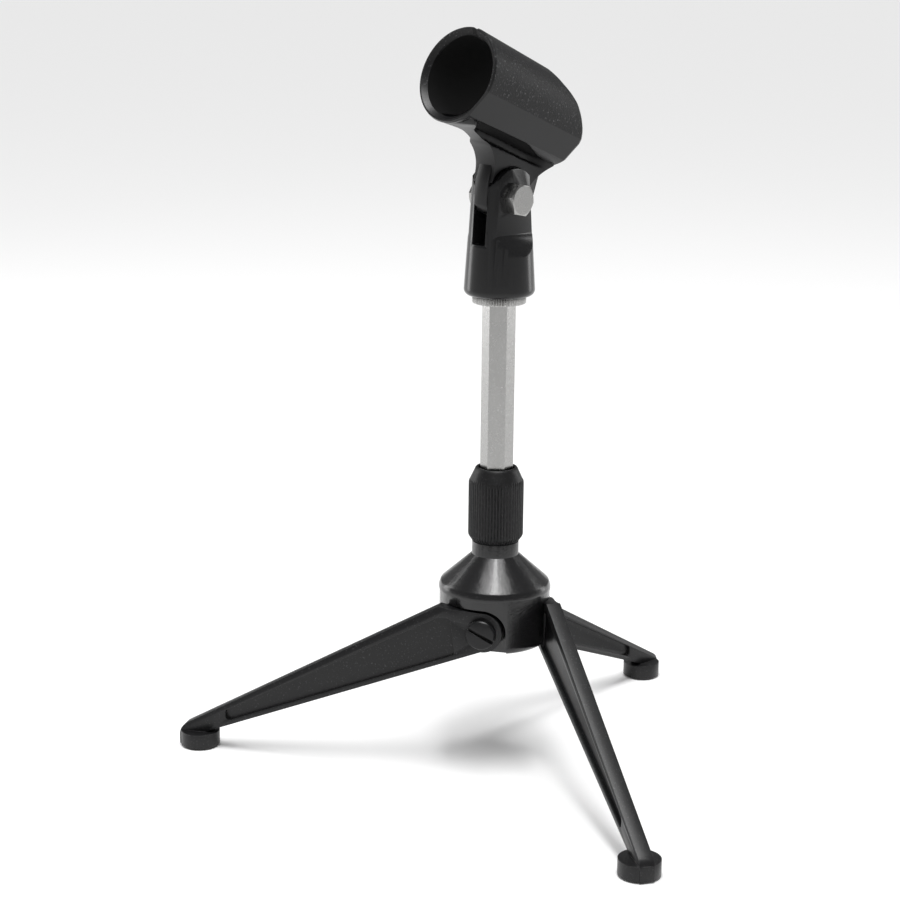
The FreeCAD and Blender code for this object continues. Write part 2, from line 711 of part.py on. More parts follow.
def make_clip_base():
    """The yoke: a round draughted boss with two flat ears and a slot for the holder's tongue."""
    body = new_body("clip_base")
    crown = f"{BOLT_HEIGHT} + ear_arch_radius"
    crown_radius = f"{YOKE_FOOT_RADIUS} - yoke_draft_ratio * ({crown} - {YOKE_FOOT})"
    insert_foot = f"{YOKE_FOOT} + insert_wall"
    insert_top = f"{insert_foot} + insert_length + seat_clearance"
    inner = "stud_radius + 2 * thread_clearance"
    seat = f"{INSERT_RADIUS} + seat_clearance / 2"
    revolve(body, "boss", [
        (inner, YOKE_FOOT),
        (YOKE_FOOT_RADIUS, YOKE_FOOT),
        (crown_radius, crown),
        ("0", crown),
        ("0", insert_top),
        (seat, insert_top),
        (seat, insert_foot),
        (inner, insert_foot),
    ])
    foot = edges_where(body, ring_edge(value(YOKE_FOOT_RADIUS), value(YOKE_FOOT)))
    dress(body, "Fillet", "foot_round", foot, Radius="yoke_foot_round")

    ramp = [
        (EAR_OUTER, f"{crown} + 1"),
        (EAR_OUTER, f"{BOLT_HEIGHT} - ear_crease_drop"),
        (f"{EAR_OUTER} + ear_ramp_run", f"{BOLT_HEIGHT} - ear_ramp_drop"),
        (f"2 * {EAR_OUTER} + ear_ramp_run", f"{BOLT_HEIGHT} - ear_ramp_drop"),
        (f"2 * {EAR_OUTER} + ear_ramp_run", f"{crown} + 1"),
    ]
    for side, sign in (("near", ""), ("far", "-1 * ")):
        corners = [(f"{sign}({across})", up) for across, up in ramp]
        pocket(body, f"{side}_ear_flat", outline(body, f"{side}_ear_outline", "XZ_Plane", corners),
               f"4 * {YOKE_FOOT_RADIUS}", both_ways=True)
    slot = outline(body, "fork_slot_outline", "XZ_Plane", [
        ("-fork_slot_width / 2", f"{BOLT_HEIGHT} - fork_slot_drop"),
        ("fork_slot_width / 2", f"{BOLT_HEIGHT} - fork_slot_drop"),
        ("fork_slot_width / 2", f"{crown} + 1"),
        ("-fork_slot_width / 2", f"{crown} + 1"),
    ])
    pocket(body, "fork_slot", slot, f"4 * {YOKE_FOOT_RADIUS}", both_ways=True)

    arch = new_sketch(body, "arch_outline", "YZ_Plane")
    radius = value("ear_arch_radius")
    centre = Vector(0, value(BOLT_HEIGHT), 0)
    wide = value(f"2 * {YOKE_FOOT_RADIUS}")
    high = value(f"{crown} + 1")
    left = Vector(-wide, centre.y, 0)
    right = Vector(wide, centre.y, 0)
    arch.addGeometry(Part.ArcOfCircle(Part.Circle(centre, Z_AXIS, radius), 0, math.pi))
    arch.addGeometry(Part.LineSegment(Vector(-radius, centre.y, 0), left))
    arch.addGeometry(Part.LineSegment(left, Vector(-wide, high, 0)))
    arch.addGeometry(Part.LineSegment(Vector(-wide, high, 0), Vector(wide, high, 0)))
    arch.addGeometry(Part.LineSegment(Vector(wide, high, 0), right))
    arch.addGeometry(Part.LineSegment(right, Vector(radius, centre.y, 0)))
    for before in range(5):
        arch.addConstraint(Sketcher.Constraint("Coincident", before, 2, before + 1, 1))
    arch.addConstraint(Sketcher.Constraint("Coincident", 5, 2, 0, 1))
    pin_point(arch, 0, 3, ("0", BOLT_HEIGHT))
    pin_point(arch, 0, 1, ("ear_arch_radius", BOLT_HEIGHT))
    pin_point(arch, 2, 1, (f"-2 * {YOKE_FOOT_RADIUS}", BOLT_HEIGHT))
    pin_point(arch, 3, 1, (f"-2 * {YOKE_FOOT_RADIUS}", f"{crown} + 1"))
    pin_point(arch, 4, 1, (f"2 * {YOKE_FOOT_RADIUS}", f"{crown} + 1"))
    pin_point(arch, 5, 1, (f"2 * {YOKE_FOOT_RADIUS}", BOLT_HEIGHT))
    arch.addConstraint(Sketcher.Constraint("Horizontal", 1))
    pocket(body, "ear_arch", arch, f"4 * {YOKE_FOOT_RADIUS}", both_ways=True)

    hole = circle(body, "bolt_hole_outline", "YZ_Plane", ("0", BOLT_HEIGHT), BOLT_BORE)
    pocket(body, "bolt_hole", hole, f"4 * {YOKE_FOOT_RADIUS}", both_ways=True)
    nut = outline(body, "nut_pocket_outline", "YZ_Plane", lifted(
        hexagon_corners("bolt_head_across_flats + 2 * seat_clearance", "bolt_head_turn")), f"-{EAR_OUTER}")
    pocket(body, "nut_pocket", nut, "nut_pocket_depth", reverse=True)


def lifted(corners):
    """Corners moved up to the height of the pivot bolt."""
    return [(across, f"{BOLT_HEIGHT} + {up}") for across, up in corners]


def make_pivot_bolt():
    """The hexagon head bolt through the ears."""
    body = new_body("pivot_bolt")
    head = outline(body, "head_outline", "YZ_Plane",
                   lifted(hexagon_corners("bolt_head_across_flats", "bolt_head_turn")), EAR_OUTER)
    pad(body, "head", head, "bolt_head_height")
    length = f"2 * {EAR_OUTER} - nut_pocket_depth + nut_thickness + bolt_end_proud"
    shank = circle(body, "shank_outline", "YZ_Plane", ("0", BOLT_HEIGHT), "bolt_radius", EAR_OUTER)
    pad(body, "shank", shank, length, reverse=True)


def make_pivot_nut():
    """The nut held in the far ear's pocket."""
    body = new_body("pivot_nut")
    section = outline(body, "nut_outline", "YZ_Plane",
                      lifted(hexagon_corners("bolt_head_across_flats", "bolt_head_turn")),
                      f"-({EAR_OUTER} - nut_pocket_depth + seat_clearance)")
    pad(body, "nut", section, "nut_thickness", reverse=True)
    hole = circle(body, "thread_outline", "YZ_Plane", ("0", BOLT_HEIGHT), "bolt_radius + seat_clearance / 2")
    pocket(body, "thread", hole, "8 * nut_thickness", both_ways=True)


# ------------------------------------------------------------------------------- mic holder

def make_mic_holder():
    """A split tube for the microphone on a neck with a tongue for the yoke's slot.

    Its own frame is on the tube's axis above the pivot: Y runs back along the tube and Z is up.
    """
    tilt = Rotation(X_AXIS, -value("holder_tilt"))
    pivot = Vector(0, 0, value(BOLT_HEIGHT))
    raised = tilt.multVec(Vector(0, 0, value("holder_axis_height")))
    body = new_body("mic_holder", Placement(pivot + raised, tilt))
    front = "-holder_front_reach"
    back = "holder_back_reach"
    down = "holder_axis_height"
    revolve(body, "tube", [
        (front, "0"),
        (front, HOLDER_FRONT_RADIUS),
        (back, HOLDER_BACK_RADIUS),
        (back, "0"),
    ], plane="YZ_Plane", axis="H_Axis")

    flare_reach = "(neck_front_reach + neck_flare_radius)"
    inside_wall = "-(holder_bore_radius + holder_back_wall / 3)"
    neck_outline = [
        ("-neck_front_reach + neck_toe_cut", f"-{down} - neck_foot_drop + neck_toe_rise"),
        ("-neck_front_reach", f"-{down} + neck_flare_top - neck_flare_radius"),
        (f"-{flare_reach}", f"-{down} + neck_flare_top - neck_flare_radius"),
        (f"-{flare_reach}", inside_wall),
        ("holder_back_reach", inside_wall),
        ("neck_back_reach + neck_back_flare", f"-{down} + neck_back_flare_rise"),
        ("neck_back_reach", f"-{down} + neck_back_flare"),
        ("neck_back_reach - neck_toe_cut", f"-{down} - neck_foot_drop + neck_toe_rise"),
        ("neck_back_reach - 2 * neck_toe_cut", f"-{down} - neck_foot_drop"),
        ("-neck_front_reach + 2 * neck_toe_cut", f"-{down} - neck_foot_drop"),
    ]
    tongue = outline(body, "tongue_outline", "YZ_Plane", neck_outline)
    pad(body, "tongue", tongue, f"2 * {TONGUE_HALF}", both_ways=True)

    shoulder = [
        *neck_outline[1:6],
        ("neck_back_reach - neck_back_flare / 2", f"-{down} + neck_back_flare_rise - neck_back_flare"),
    ]
    cheek = outline(body, "cheek_outline", "YZ_Plane", shoulder)
    pad(body, "cheeks", cheek, f"2 * {NECK_HALF}", both_ways=True)
    flare = circle(body, "flare_outline", "YZ_Plane",
                   (f"-{flare_reach}", f"-{down} + neck_flare_top - neck_flare_radius"), "neck_flare_radius")
    pocket(body, "flare", flare, f"4 * {NECK_HALF}", both_ways=True)
    for side, face, away in (("near", NECK_HALF, False), ("far", f"-{NECK_HALF}", True)):
        disc = circle(body, f"{side}_recess_outline", "YZ_Plane", ("0", f"-{down}"), RECESS_RADIUS, face)
        pocket(body, f"{side}_recess", disc, f"{NECK_HALF} - {TONGUE_HALF}", reverse=away)

    revolve(body, "mic_bore", [
        (f"{front} - 1", "0"),
        (f"{front} - 1", "holder_bore_radius + holder_entry_chamfer + 1"),
        (f"{front} + holder_entry_chamfer", "holder_bore_radius"),
        (f"{back} + 1", "holder_bore_radius"),
        (f"{back} + 1", "0"),
    ], plane="YZ_Plane", axis="H_Axis", cut=True)
    slant = outline(body, "back_slant_outline", "YZ_Plane", [
        (back, "-back_slant_start"),
        (f"{back} - back_slant_run", "back_slant_start"),
        (f"{back} - 2 * back_slant_run", f"{HOLDER_BACK_RADIUS} * 0.75"),
        (f"{back} - 2.6 * back_slant_run", f"{HOLDER_FRONT_RADIUS} + 1"),
        (f"{back} + 1", f"{HOLDER_FRONT_RADIUS} + 1"),
        (f"{back} + 1", "-back_slant_start"),
    ])
    pocket(body, "back_slant", slant, f"4 * {HOLDER_FRONT_RADIUS}", both_ways=True)
    slit = outline(body, "slit_outline", "XY_Plane", [
        ("holder_slit_offset - holder_slit_width / 2", f"{front} - 1"),
        ("holder_slit_offset + holder_slit_width / 2", f"{front} - 1"),
        ("holder_slit_offset + holder_slit_width / 2", f"{back} + 1"),
        ("holder_slit_offset - holder_slit_width / 2", f"{back} + 1"),
    ])
    pocket(body, "slit", slit, f"2 * {HOLDER_FRONT_RADIUS}", reverse=True)
    hole = circle(body, "pivot_hole_outline", "YZ_Plane", ("0", f"-{down}"), BOLT_BORE)
    pocket(body, "pivot_hole", hole, f"4 * {HOLDER_FRONT_RADIUS}", both_ways=True)


# ---------------------------------------------------------------------------- build and write

make_hub()
for leg_number in range(LEG_COUNT):
    make_leg(leg_number)
    make_foot_pad(leg_number)
    make_pivot_screw(leg_number)
    make_friction_washer(leg_number)
make_clutch_sleeve()
make_clutch_collet()
make_rod()
make_rod_stop()
make_thread_stud()
make_lock_ring()
make_thread_insert()
make_clip_base()
make_pivot_bolt()
make_pivot_nut()
make_mic_holder()
doc.recompute()

for item in doc.Objects:
    if "Invalid" in item.State or "Error" in item.State:
        raise RuntimeError(f"{item.Label} is {item.State}")
for part in parts:
    if part.Shape.isNull() or not part.Shape.isValid():
        raise RuntimeError(f"{part.Label} has no valid shape")
    if len(part.Shape.Solids) != 1:
        raise RuntimeError(f"{part.Label} is {len(part.Shape.Solids)} solids")

os.makedirs("parts", exist_ok=True)
for part in parts:
    part.Shape.exportStep(os.path.join("parts", f"{part.Label}.step"))
    box = part.Shape.BoundBox
    print(f"{part.Label}: {part.Shape.Volume:.1f} mm3, z {box.ZMin:.2f} to {box.ZMax:.2f}")
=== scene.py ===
import json
import math

import bmesh
import bpy
from mathutils import Matrix, Vector


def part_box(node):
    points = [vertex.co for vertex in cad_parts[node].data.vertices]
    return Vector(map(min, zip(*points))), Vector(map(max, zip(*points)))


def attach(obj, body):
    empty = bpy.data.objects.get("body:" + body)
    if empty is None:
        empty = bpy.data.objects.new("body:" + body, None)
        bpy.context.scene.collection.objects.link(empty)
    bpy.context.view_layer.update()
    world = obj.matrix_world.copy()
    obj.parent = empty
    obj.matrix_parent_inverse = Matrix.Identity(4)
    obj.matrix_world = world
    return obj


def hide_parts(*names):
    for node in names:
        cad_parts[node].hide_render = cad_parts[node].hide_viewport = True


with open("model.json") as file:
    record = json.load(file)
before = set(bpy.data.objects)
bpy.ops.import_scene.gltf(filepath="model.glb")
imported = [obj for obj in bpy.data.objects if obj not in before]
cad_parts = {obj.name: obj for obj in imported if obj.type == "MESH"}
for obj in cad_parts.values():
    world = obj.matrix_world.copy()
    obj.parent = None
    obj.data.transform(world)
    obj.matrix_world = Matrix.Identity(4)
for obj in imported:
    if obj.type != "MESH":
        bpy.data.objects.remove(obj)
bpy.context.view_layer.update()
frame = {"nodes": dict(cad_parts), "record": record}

bl_info = {
    "name": "Desktop microphone stand",
    "version": (1, 0, 0),
    "blender": (4, 5, 0),
    "location": "View3D > Sidebar > Mic stand",
    "description": "Finishes and fine shapes of a folding desktop microphone stand",
    "category": "Object",
}

MM = 0.001
LEG_NUMBERS = (1, 2, 3)
BODY_OF = {node: body for body, nodes in frame["record"]["behaviour"]["bodies"].items() for node in nodes}


def size_of(node):
    """The lowest corner, highest corner and middle of a node, as vectors."""
    low, high = (Vector(corner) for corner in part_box(node))
    return low, high, (low + high) / 2


def fade(place, start, end):
    """0 at the start, 1 at the end and a smooth step between them."""
    share = min(1.0, max(0.0, (place - start) / (end - start)))
    return share * share * (3 - 2 * share)


def from_table(place, table):
    """A value from a table of (place, value), in a straight line from one row to the next."""
    if place <= table[0][0]:
        return table[0][1]
    for (start, low), (end, high) in zip(table, table[1:]):
        if place <= end:
            return low + (high - low) * (place - start) / (end - start)
    return table[-1][1]


def curve_point(start, bend, end, share):
    """A place on a curve that leaves its start and reaches its end by way of a bend."""
    rest = 1 - share
    return tuple(rest * rest * a + 2 * rest * share * b + share * share * c
                 for a, b, c in zip(start, bend, end))


# The holder's own frame is on the tube's axis above the pivot: Y runs back along it and Z is up.
HOLDER_TILT = math.radians(21.6)
HOLDER_RISE = 30.9 * MM
TUBE_FRONT = 35.75 * MM
TUBE_BACK = 16.5 * MM
TUBE_MOUTH_RADIUS = 16.2 * MM
TUBE_BACK_RADIUS = 15.1 * MM
BORE_RADIUS = 13.8 * MM
ENTRY_CHAMFER = 1.5 * MM
SLIT_HALF = 1.1 * MM
SLIT_OFFSET = 2.4 * MM
BAND_MIDDLE = -35.5
BAND_HALF = 18.0
BACK_SLANT = tuple((z * MM, y * MM) for z, y in (
    (-6.6, 16.5), (-2.0, 14.6), (2.0, 12.4), (6.6, 9.7), (9.2, 6.6), (11.6, 3.0), (14.0, 0.6), (16.3, -0.6)))
NECK_HALF = 4.35 * MM
TONGUE_HALF = 2.89 * MM
NECK_MOUTH_HALF = 7.6 * MM
NECK_FLARE_START = -17.0 * MM
NECK_TOP_FRONT = -31.0 * MM
NECK_TOP_BACK = 15.6 * MM
HOLLOW_RADIUS = 14.2 * MM
RECESS_RADIUS = 10.9 * MM
NECK_FRONT_ANGLE = 168.0
NECK_BACK_ANGLE = 42.0
NECK_EDGE = 0.5 * MM
NECK_BACK_SWELL = 1.3 * MM
GROOVE_HALF = 2.6 * MM
GROOVE_FRONT = (NECK_TOP_FRONT + 2 * MM, NECK_TOP_FRONT + 8 * MM)
GROOVE_BACK = (11.5 * MM, 3.5 * MM)
GROOVE_RISE = (-17.2 * MM, -16.2 * MM)
TONGUE_EDGE = 0.35 * MM
TONGUE_OUTLINE = (
    (-11.2, 2.0), (-11.6, 12.0), (12.4, 12.0), (12.6, 2.2),
    (10.2, -4.9), (7.8, -6.9), (-6.4, -6.9), (-8.8, -4.9))

# The hollow beside the neck, in degrees round the tube and in places along it.
HOLLOW_GAP = 0.5
HOLLOW_SIDE = 2.5
HOLLOW_NARROWS_BACK = 14
HOLLOW_BACK = (-6 * MM, 9 * MM)
HOLLOW_NARROWS_FRONT = 4
HOLLOW_FRONT = (-28 * MM, -TUBE_FRONT)
HOLLOW_START = (-TUBE_FRONT + 1.2 * MM, -TUBE_FRONT + 5 * MM)
HOLLOW_END = (10 * MM, 7 * MM)
RIM_ROUND = 0.35 * MM
LEAST_WALL = 0.12 * MM

# The bolt and the nut. A groove of the thread starts and ends at two places within its pitch.
BOLT_TURN = 18.0
BOLT_RADIUS = 3.0 * MM
EAR_FACE = 6.5 * MM
THREAD_PITCH = 1.0 * MM
THREAD_DEPTH = 0.4 * MM
THREAD_TURNS = 8
THREAD_GROOVE = (0.1 * MM, 0.9 * MM)
END_CHAMFER = 0.5 * MM
NUT_CLEARANCE = 0.05 * MM
HEAD_FLAT_SHARE = 0.95
HEAD_STEPS = 96

# The clutch sleeve's outline: mm in from the outside, mm up from the foot, share of a rib.
SLEEVE_WALL = 2.22 * MM
SLEEVE_BORE_TOP = 12.1 * MM
SLEEVE_FOOT = (
    (1.75, 0.0, 0.0), (1.45, 0.15, 0.2), (0.9, 0.9, 0.9), (0.3, 1.75, 1.0), (0.05, 2.3, 1.0), (0.0, 3.0, 1.0))
# The rest of it, with mm down from the top in the second place.
SLEEVE_TOP = (
    (0.0, 6.2, 1.0), (0.05, 5.2, 1.0), (0.2, 4.7, 0.7), (0.42, 4.35, 0.15), (0.55, 4.1, 0.0),
    (1.2, 2.7, 0.0), (1.9, 1.2, 0.0), (2.2, 0.5, 0.0), (2.5, 0.12, 0.0), (2.75, 0.0, 0.0),
    (3.05, 0.0, 0.0), (3.25, 0.2, 0.0), (3.3, 0.6, 0.0), (3.3, 2.5, 0.0), (2.9, 2.6, 0.0))
# One end of the lock ring: mm in from the outside, mm from the end, share of a tooth.
RING_END = ((0.5, 0.0, 0.0), (0.15, 0.12, 0.8), (0.0, 0.4, 1.0))
RING_CLEARANCE = 0.08 * MM
KNURL_STEPS = 8

# Edges steeper than these angles in degrees stay crisp.
KNURL_CRISP = 50
HEAD_CRISP = 22
TUBE_CRISP = 14

FLOOR_REACH = 60.0
FLOOR_HEIGHT = -0.0002
FLOOR_ROUGHNESS = 0.8
WORLD_STRENGTH = 0.3
SUN_POWER = 2.0
SUN_SPREAD = 44
SUN_TURN = (14, 0, 44)
CAMERA_PLACE = (0.4847, -0.52526, 0.29286)
CAMERA_ANGLES = (43.997, 75.872, 0.597)
CAMERA_LENS = 85.24
CAMERA_SENSOR = 36.0
# Each panel lamp: its name, place, aim, width and height in metres, and watts.
LAMPS = (
    ("top panel", (0.12, -0.12, 1.25), (0.0, 0.0, 0.0), (0.2, 0.8), 7.0),
    ("left panel", (-1.0, -0.25, 0.3), (0.0, 0.0, 0.12), (0.3, 0.9), 3.0),
    ("right panel", (0.35, 1.05, 0.3), (0.0, 0.0, 0.12), (0.25, 0.9), 2.2),
)


def hexagon_corner(step):
    """How high one of a turned unit hexagon's corners is."""
    return abs(math.sin(math.radians(BOLT_TURN + 30 + 60 * step)))


# ---------------------------------------------------------------------------- sizes and colours

class StandFinish(bpy.types.PropertyGroup):
    """Colours and surface sizes of the stand."""

    enamel_colour: bpy.props.FloatVectorProperty(
        name="Enamel", description="Gloss black of the hub", default=(0.0045, 0.0045, 0.005),
        subtype="COLOR", size=3, min=0.0, max=1.0)
    casting_colour: bpy.props.FloatVectorProperty(
        name="Casting", description="Satin black of the legs", default=(0.0055, 0.0055, 0.006),
        subtype="COLOR", size=3, min=0.0, max=1.0)
    plastic_colour: bpy.props.FloatVectorProperty(
        name="Plastic", description="Black of the clip and the mic holder", default=(0.006, 0.006, 0.0065),
        subtype="COLOR", size=3, min=0.0, max=1.0)
    nickel_colour: bpy.props.FloatVectorProperty(
        name="Nickel", description="Plating of the rod, ring and bolt", default=(0.33, 0.328, 0.322),
        subtype="COLOR", size=3, min=0.0, max=1.0)
    floor_colour: bpy.props.FloatVectorProperty(
        name="Floor", description="Pale floor and backdrop", default=(0.93, 0.93, 0.93),
        subtype="COLOR", size=3, min=0.0, max=1.0)
    cast_edge: bpy.props.FloatProperty(
        name="Cast edge", description="Edge radius of the castings", default=0.55 * MM, unit="LENGTH")
    moulded_edge: bpy.props.FloatProperty(
        name="Moulded edge", description="Edge radius of the plastic parts", default=0.4 * MM, unit="LENGTH")
    machined_edge: bpy.props.FloatProperty(
        name="Machined edge", description="Edge radius of screws and nuts", default=0.2 * MM, unit="LENGTH")
    sleeve_ribs: bpy.props.IntProperty(
        name="Sleeve ribs", description="Fine ribs round the clutch sleeve", default=55, min=12)
    sleeve_rib_depth: bpy.props.FloatProperty(
        name="Rib depth", description="How deep the sleeve's ribs are cut", default=0.38 * MM, unit="LENGTH")
    ring_teeth: bpy.props.IntProperty(
        name="Ring teeth", description="Fine teeth round the lock ring", default=64, min=12)
    ring_tooth_depth: bpy.props.FloatProperty(
        name="Tooth depth", description="How deep the lock ring's teeth are cut",
        default=0.42 * MM, unit="LENGTH")


def finish():
    """The stand's own property group."""
    return bpy.context.scene.stand_finish


# ------------------------------------------------------------------------------- shader groups

def group_socket(group, name, kind, direction, default=None):
    """One input or output of a node group."""
    socket = group.interface.new_socket(name=name, in_out=direction, socket_type=kind)
    if default is not None:
        socket.default_value = default
    return socket


def new_group(name, inputs, outputs):
    """An empty shader node group with its two end nodes."""
    group = bpy.data.node_groups.new(name, "ShaderNodeTree")
    for label, kind, default in inputs:
        group_socket(group, label, kind, "INPUT", default)
    for label, kind in outputs:
        group_socket(group, label, kind, "OUTPUT")
    return group, group.nodes.new("NodeGroupInput"), group.nodes.new("NodeGroupOutput")


def math_node(tree, operation, first, second=None, clamp=False):
    """A math node fed by sockets or plain numbers."""
    node = tree.nodes.new("ShaderNodeMath")
    node.operation = operation
    node.use_clamp = clamp
    for place, source in enumerate((first, second)):
        if source is None:
            continue
        if isinstance(source, (int, float)):
            node.inputs[place].default_value = source
        else:
            tree.links.new(source, node.inputs[place])
    return node.outputs[0]


def noise_node(tree, coordinates, scale, detail=2.0, roughness=0.5):
    """A 3-D noise on the object's own coordinates."""
    node = tree.nodes.new("ShaderNodeTexNoise")
    node.inputs["Detail"].default_value = detail
    node.inputs["Roughness"].default_value = roughness
    tree.links.new(coordinates, node.inputs["Vector"])
    if isinstance(scale, (int, float)):
        node.inputs["Scale"].default_value = scale
    else:
        tree.links.new(scale, node.inputs["Scale"])
    return node.outputs["Fac"]


def ramp_node(tree, source, low, high):
    """Stretch a value from low..high to 0..1."""
    node = tree.nodes.new("ShaderNodeMapRange")
    node.clamp = True
    tree.links.new(source, node.inputs["Value"])
    node.inputs["From Min"].default_value = low
    node.inputs["From Max"].default_value = high
    return node.outputs["Result"]


def make_grain_group():
    """Moulded or painted grain: a height, and a mask of its brighter specks."""
    group, start, end = new_group(
        "Grain",
        [("Scale", "NodeSocketFloat", 1800.0), ("Waviness", "NodeSocketFloat", 0.3)],
        [("Height", "NodeSocketFloat"), ("Specks", "NodeSocketFloat")])
    place = group.nodes.new("ShaderNodeTexCoord").outputs["Object"]
    fine = noise_node(group, place, start.outputs["Scale"], detail=3.0, roughness=0.6)
    coarse_scale = math_node(group, "MULTIPLY", start.outputs["Scale"], 0.22)
    coarse = noise_node(group, place, coarse_scale, detail=1.0)
    wave = math_node(group, "MULTIPLY", coarse, start.outputs["Waviness"])
    group.links.new(math_node(group, "ADD", fine, wave), end.inputs["Height"])
    group.links.new(ramp_node(group, fine, 0.61, 0.68), end.inputs["Specks"])
    return group


def make_wear_group():
    """Rubbed edges: a mask that is 1 along edges of a given width, broken up by noise."""
    group, start, end = new_group(
        "Edge wear",
        [("Width", "NodeSocketFloat", 0.0006), ("Break up", "NodeSocketFloat", 900.0)],
        [("Mask", "NodeSocketFloat")])
    place = group.nodes.new("ShaderNodeTexCoord").outputs["Object"]
    rounded = group.nodes.new("ShaderNodeBevel")
    rounded.samples = 4
    group.links.new(start.outputs["Width"], rounded.inputs["Radius"])
    flat = group.nodes.new("ShaderNodeNewGeometry").outputs["Normal"]
    dot = group.nodes.new("ShaderNodeVectorMath")
    dot.operation = "DOT_PRODUCT"
    group.links.new(rounded.outputs["Normal"], dot.inputs[0])
    group.links.new(flat, dot.inputs[1])
    bent = math_node(group, "SUBTRACT", 1.0, dot.outputs["Value"])
    edge = ramp_node(group, bent, 0.02, 0.16)
    broken = ramp_node(group, noise_node(group, place, start.outputs["Break up"]), 0.38, 0.62)
    group.links.new(math_node(group, "MULTIPLY", edge, broken), end.inputs["Mask"])
    return group


def make_smudge_group():
    """Handling marks: a slow change of roughness."""
    group, start, end = new_group(
        "Smudges",
        [("Base", "NodeSocketFloat", 0.3), ("Spread", "NodeSocketFloat", 0.1),
         ("Scale", "NodeSocketFloat", 60.0)],
        [("Roughness", "NodeSocketFloat")])
    place = group.nodes.new("ShaderNodeTexCoord").outputs["Object"]
    slow = math_node(group, "SUBTRACT", noise_node(group, place, start.outputs["Scale"], detail=4.0), 0.5)
    change = math_node(group, "MULTIPLY", slow, start.outputs["Spread"])
    total = math_node(group, "ADD", start.outputs["Base"], change, clamp=True)
    group.links.new(total, end.inputs["Roughness"])
    return group


GROUPS = {}


def shared_group(name):
    """One of the shader groups, made once."""
    makers = {"Grain": make_grain_group, "Edge wear": make_wear_group, "Smudges": make_smudge_group}
    if name not in GROUPS:
        GROUPS[name] = makers[name]()
    return GROUPS[name]


def place_group(tree, name, **values):
    """Put a shared group in a material with its own values."""
    node = tree.nodes.new("ShaderNodeGroup")
    node.node_tree = shared_group(name)
    for label, number in values.items():
        node.inputs[label.replace("_", " ")].default_value = number
    return node


# ----------------------------------------------------------------------------------- materials

def surface(name, colour, roughness, spread=0.1, metallic=0.0, worn=None, wear=0.3,
            grain=1800.0, grain_height=0.02, waviness=0.3, speck=0.0, coat=0.0, specular=0.5,
            smudge_scale=60.0, coat_roughness=0.1, wear_width=0.5):
    """A finish: smudged roughness, a grain in the normal, specks and rubbed edges in the colour."""
    material = bpy.data.materials.new(name)
    material.use_nodes = True
    tree = material.node_tree
    shader = tree.nodes["Principled BSDF"]
    shader.inputs["Metallic"].default_value = metallic
    shader.inputs["Specular IOR Level"].default_value = specular
    shader.inputs["Coat Weight"].default_value = coat
    shader.inputs["Coat Roughness"].default_value = coat_roughness

    smudges = place_group(tree, "Smudges", Base=roughness, Spread=spread, Scale=smudge_scale)
    tree.links.new(smudges.outputs["Roughness"], shader.inputs["Roughness"])

    grains = place_group(tree, "Grain", Scale=grain, Waviness=waviness)
    bump = tree.nodes.new("ShaderNodeBump")
    bump.inputs["Strength"].default_value = 1.0
    bump.inputs["Distance"].default_value = grain_height * MM
    tree.links.new(grains.outputs["Height"], bump.inputs["Height"])
    tree.links.new(bump.outputs["Normal"], shader.inputs["Normal"])

    base = (*colour, 1.0)
    light = tuple(min(1.0, channel * 6 + 0.05) for channel in colour)
    speckle = tree.nodes.new("ShaderNodeMix")
    speckle.data_type = "RGBA"
    speckle.inputs["A"].default_value = base
    speckle.inputs["B"].default_value = (*light, 1.0)
    tree.links.new(math_node(tree, "MULTIPLY", grains.outputs["Specks"], speck), speckle.inputs["Factor"])
    rub = tree.nodes.new("ShaderNodeMix")
    rub.data_type = "RGBA"
    rub.inputs["B"].default_value = (*(worn or light), 1.0)
    edges = place_group(tree, "Edge wear", Width=wear_width * MM)
    tree.links.new(math_node(tree, "MULTIPLY", edges.outputs["Mask"], wear), rub.inputs["Factor"])
    tree.links.new(speckle.outputs["Result"], rub.inputs["A"])
    tree.links.new(rub.outputs["Result"], shader.inputs["Base Color"])
    return material


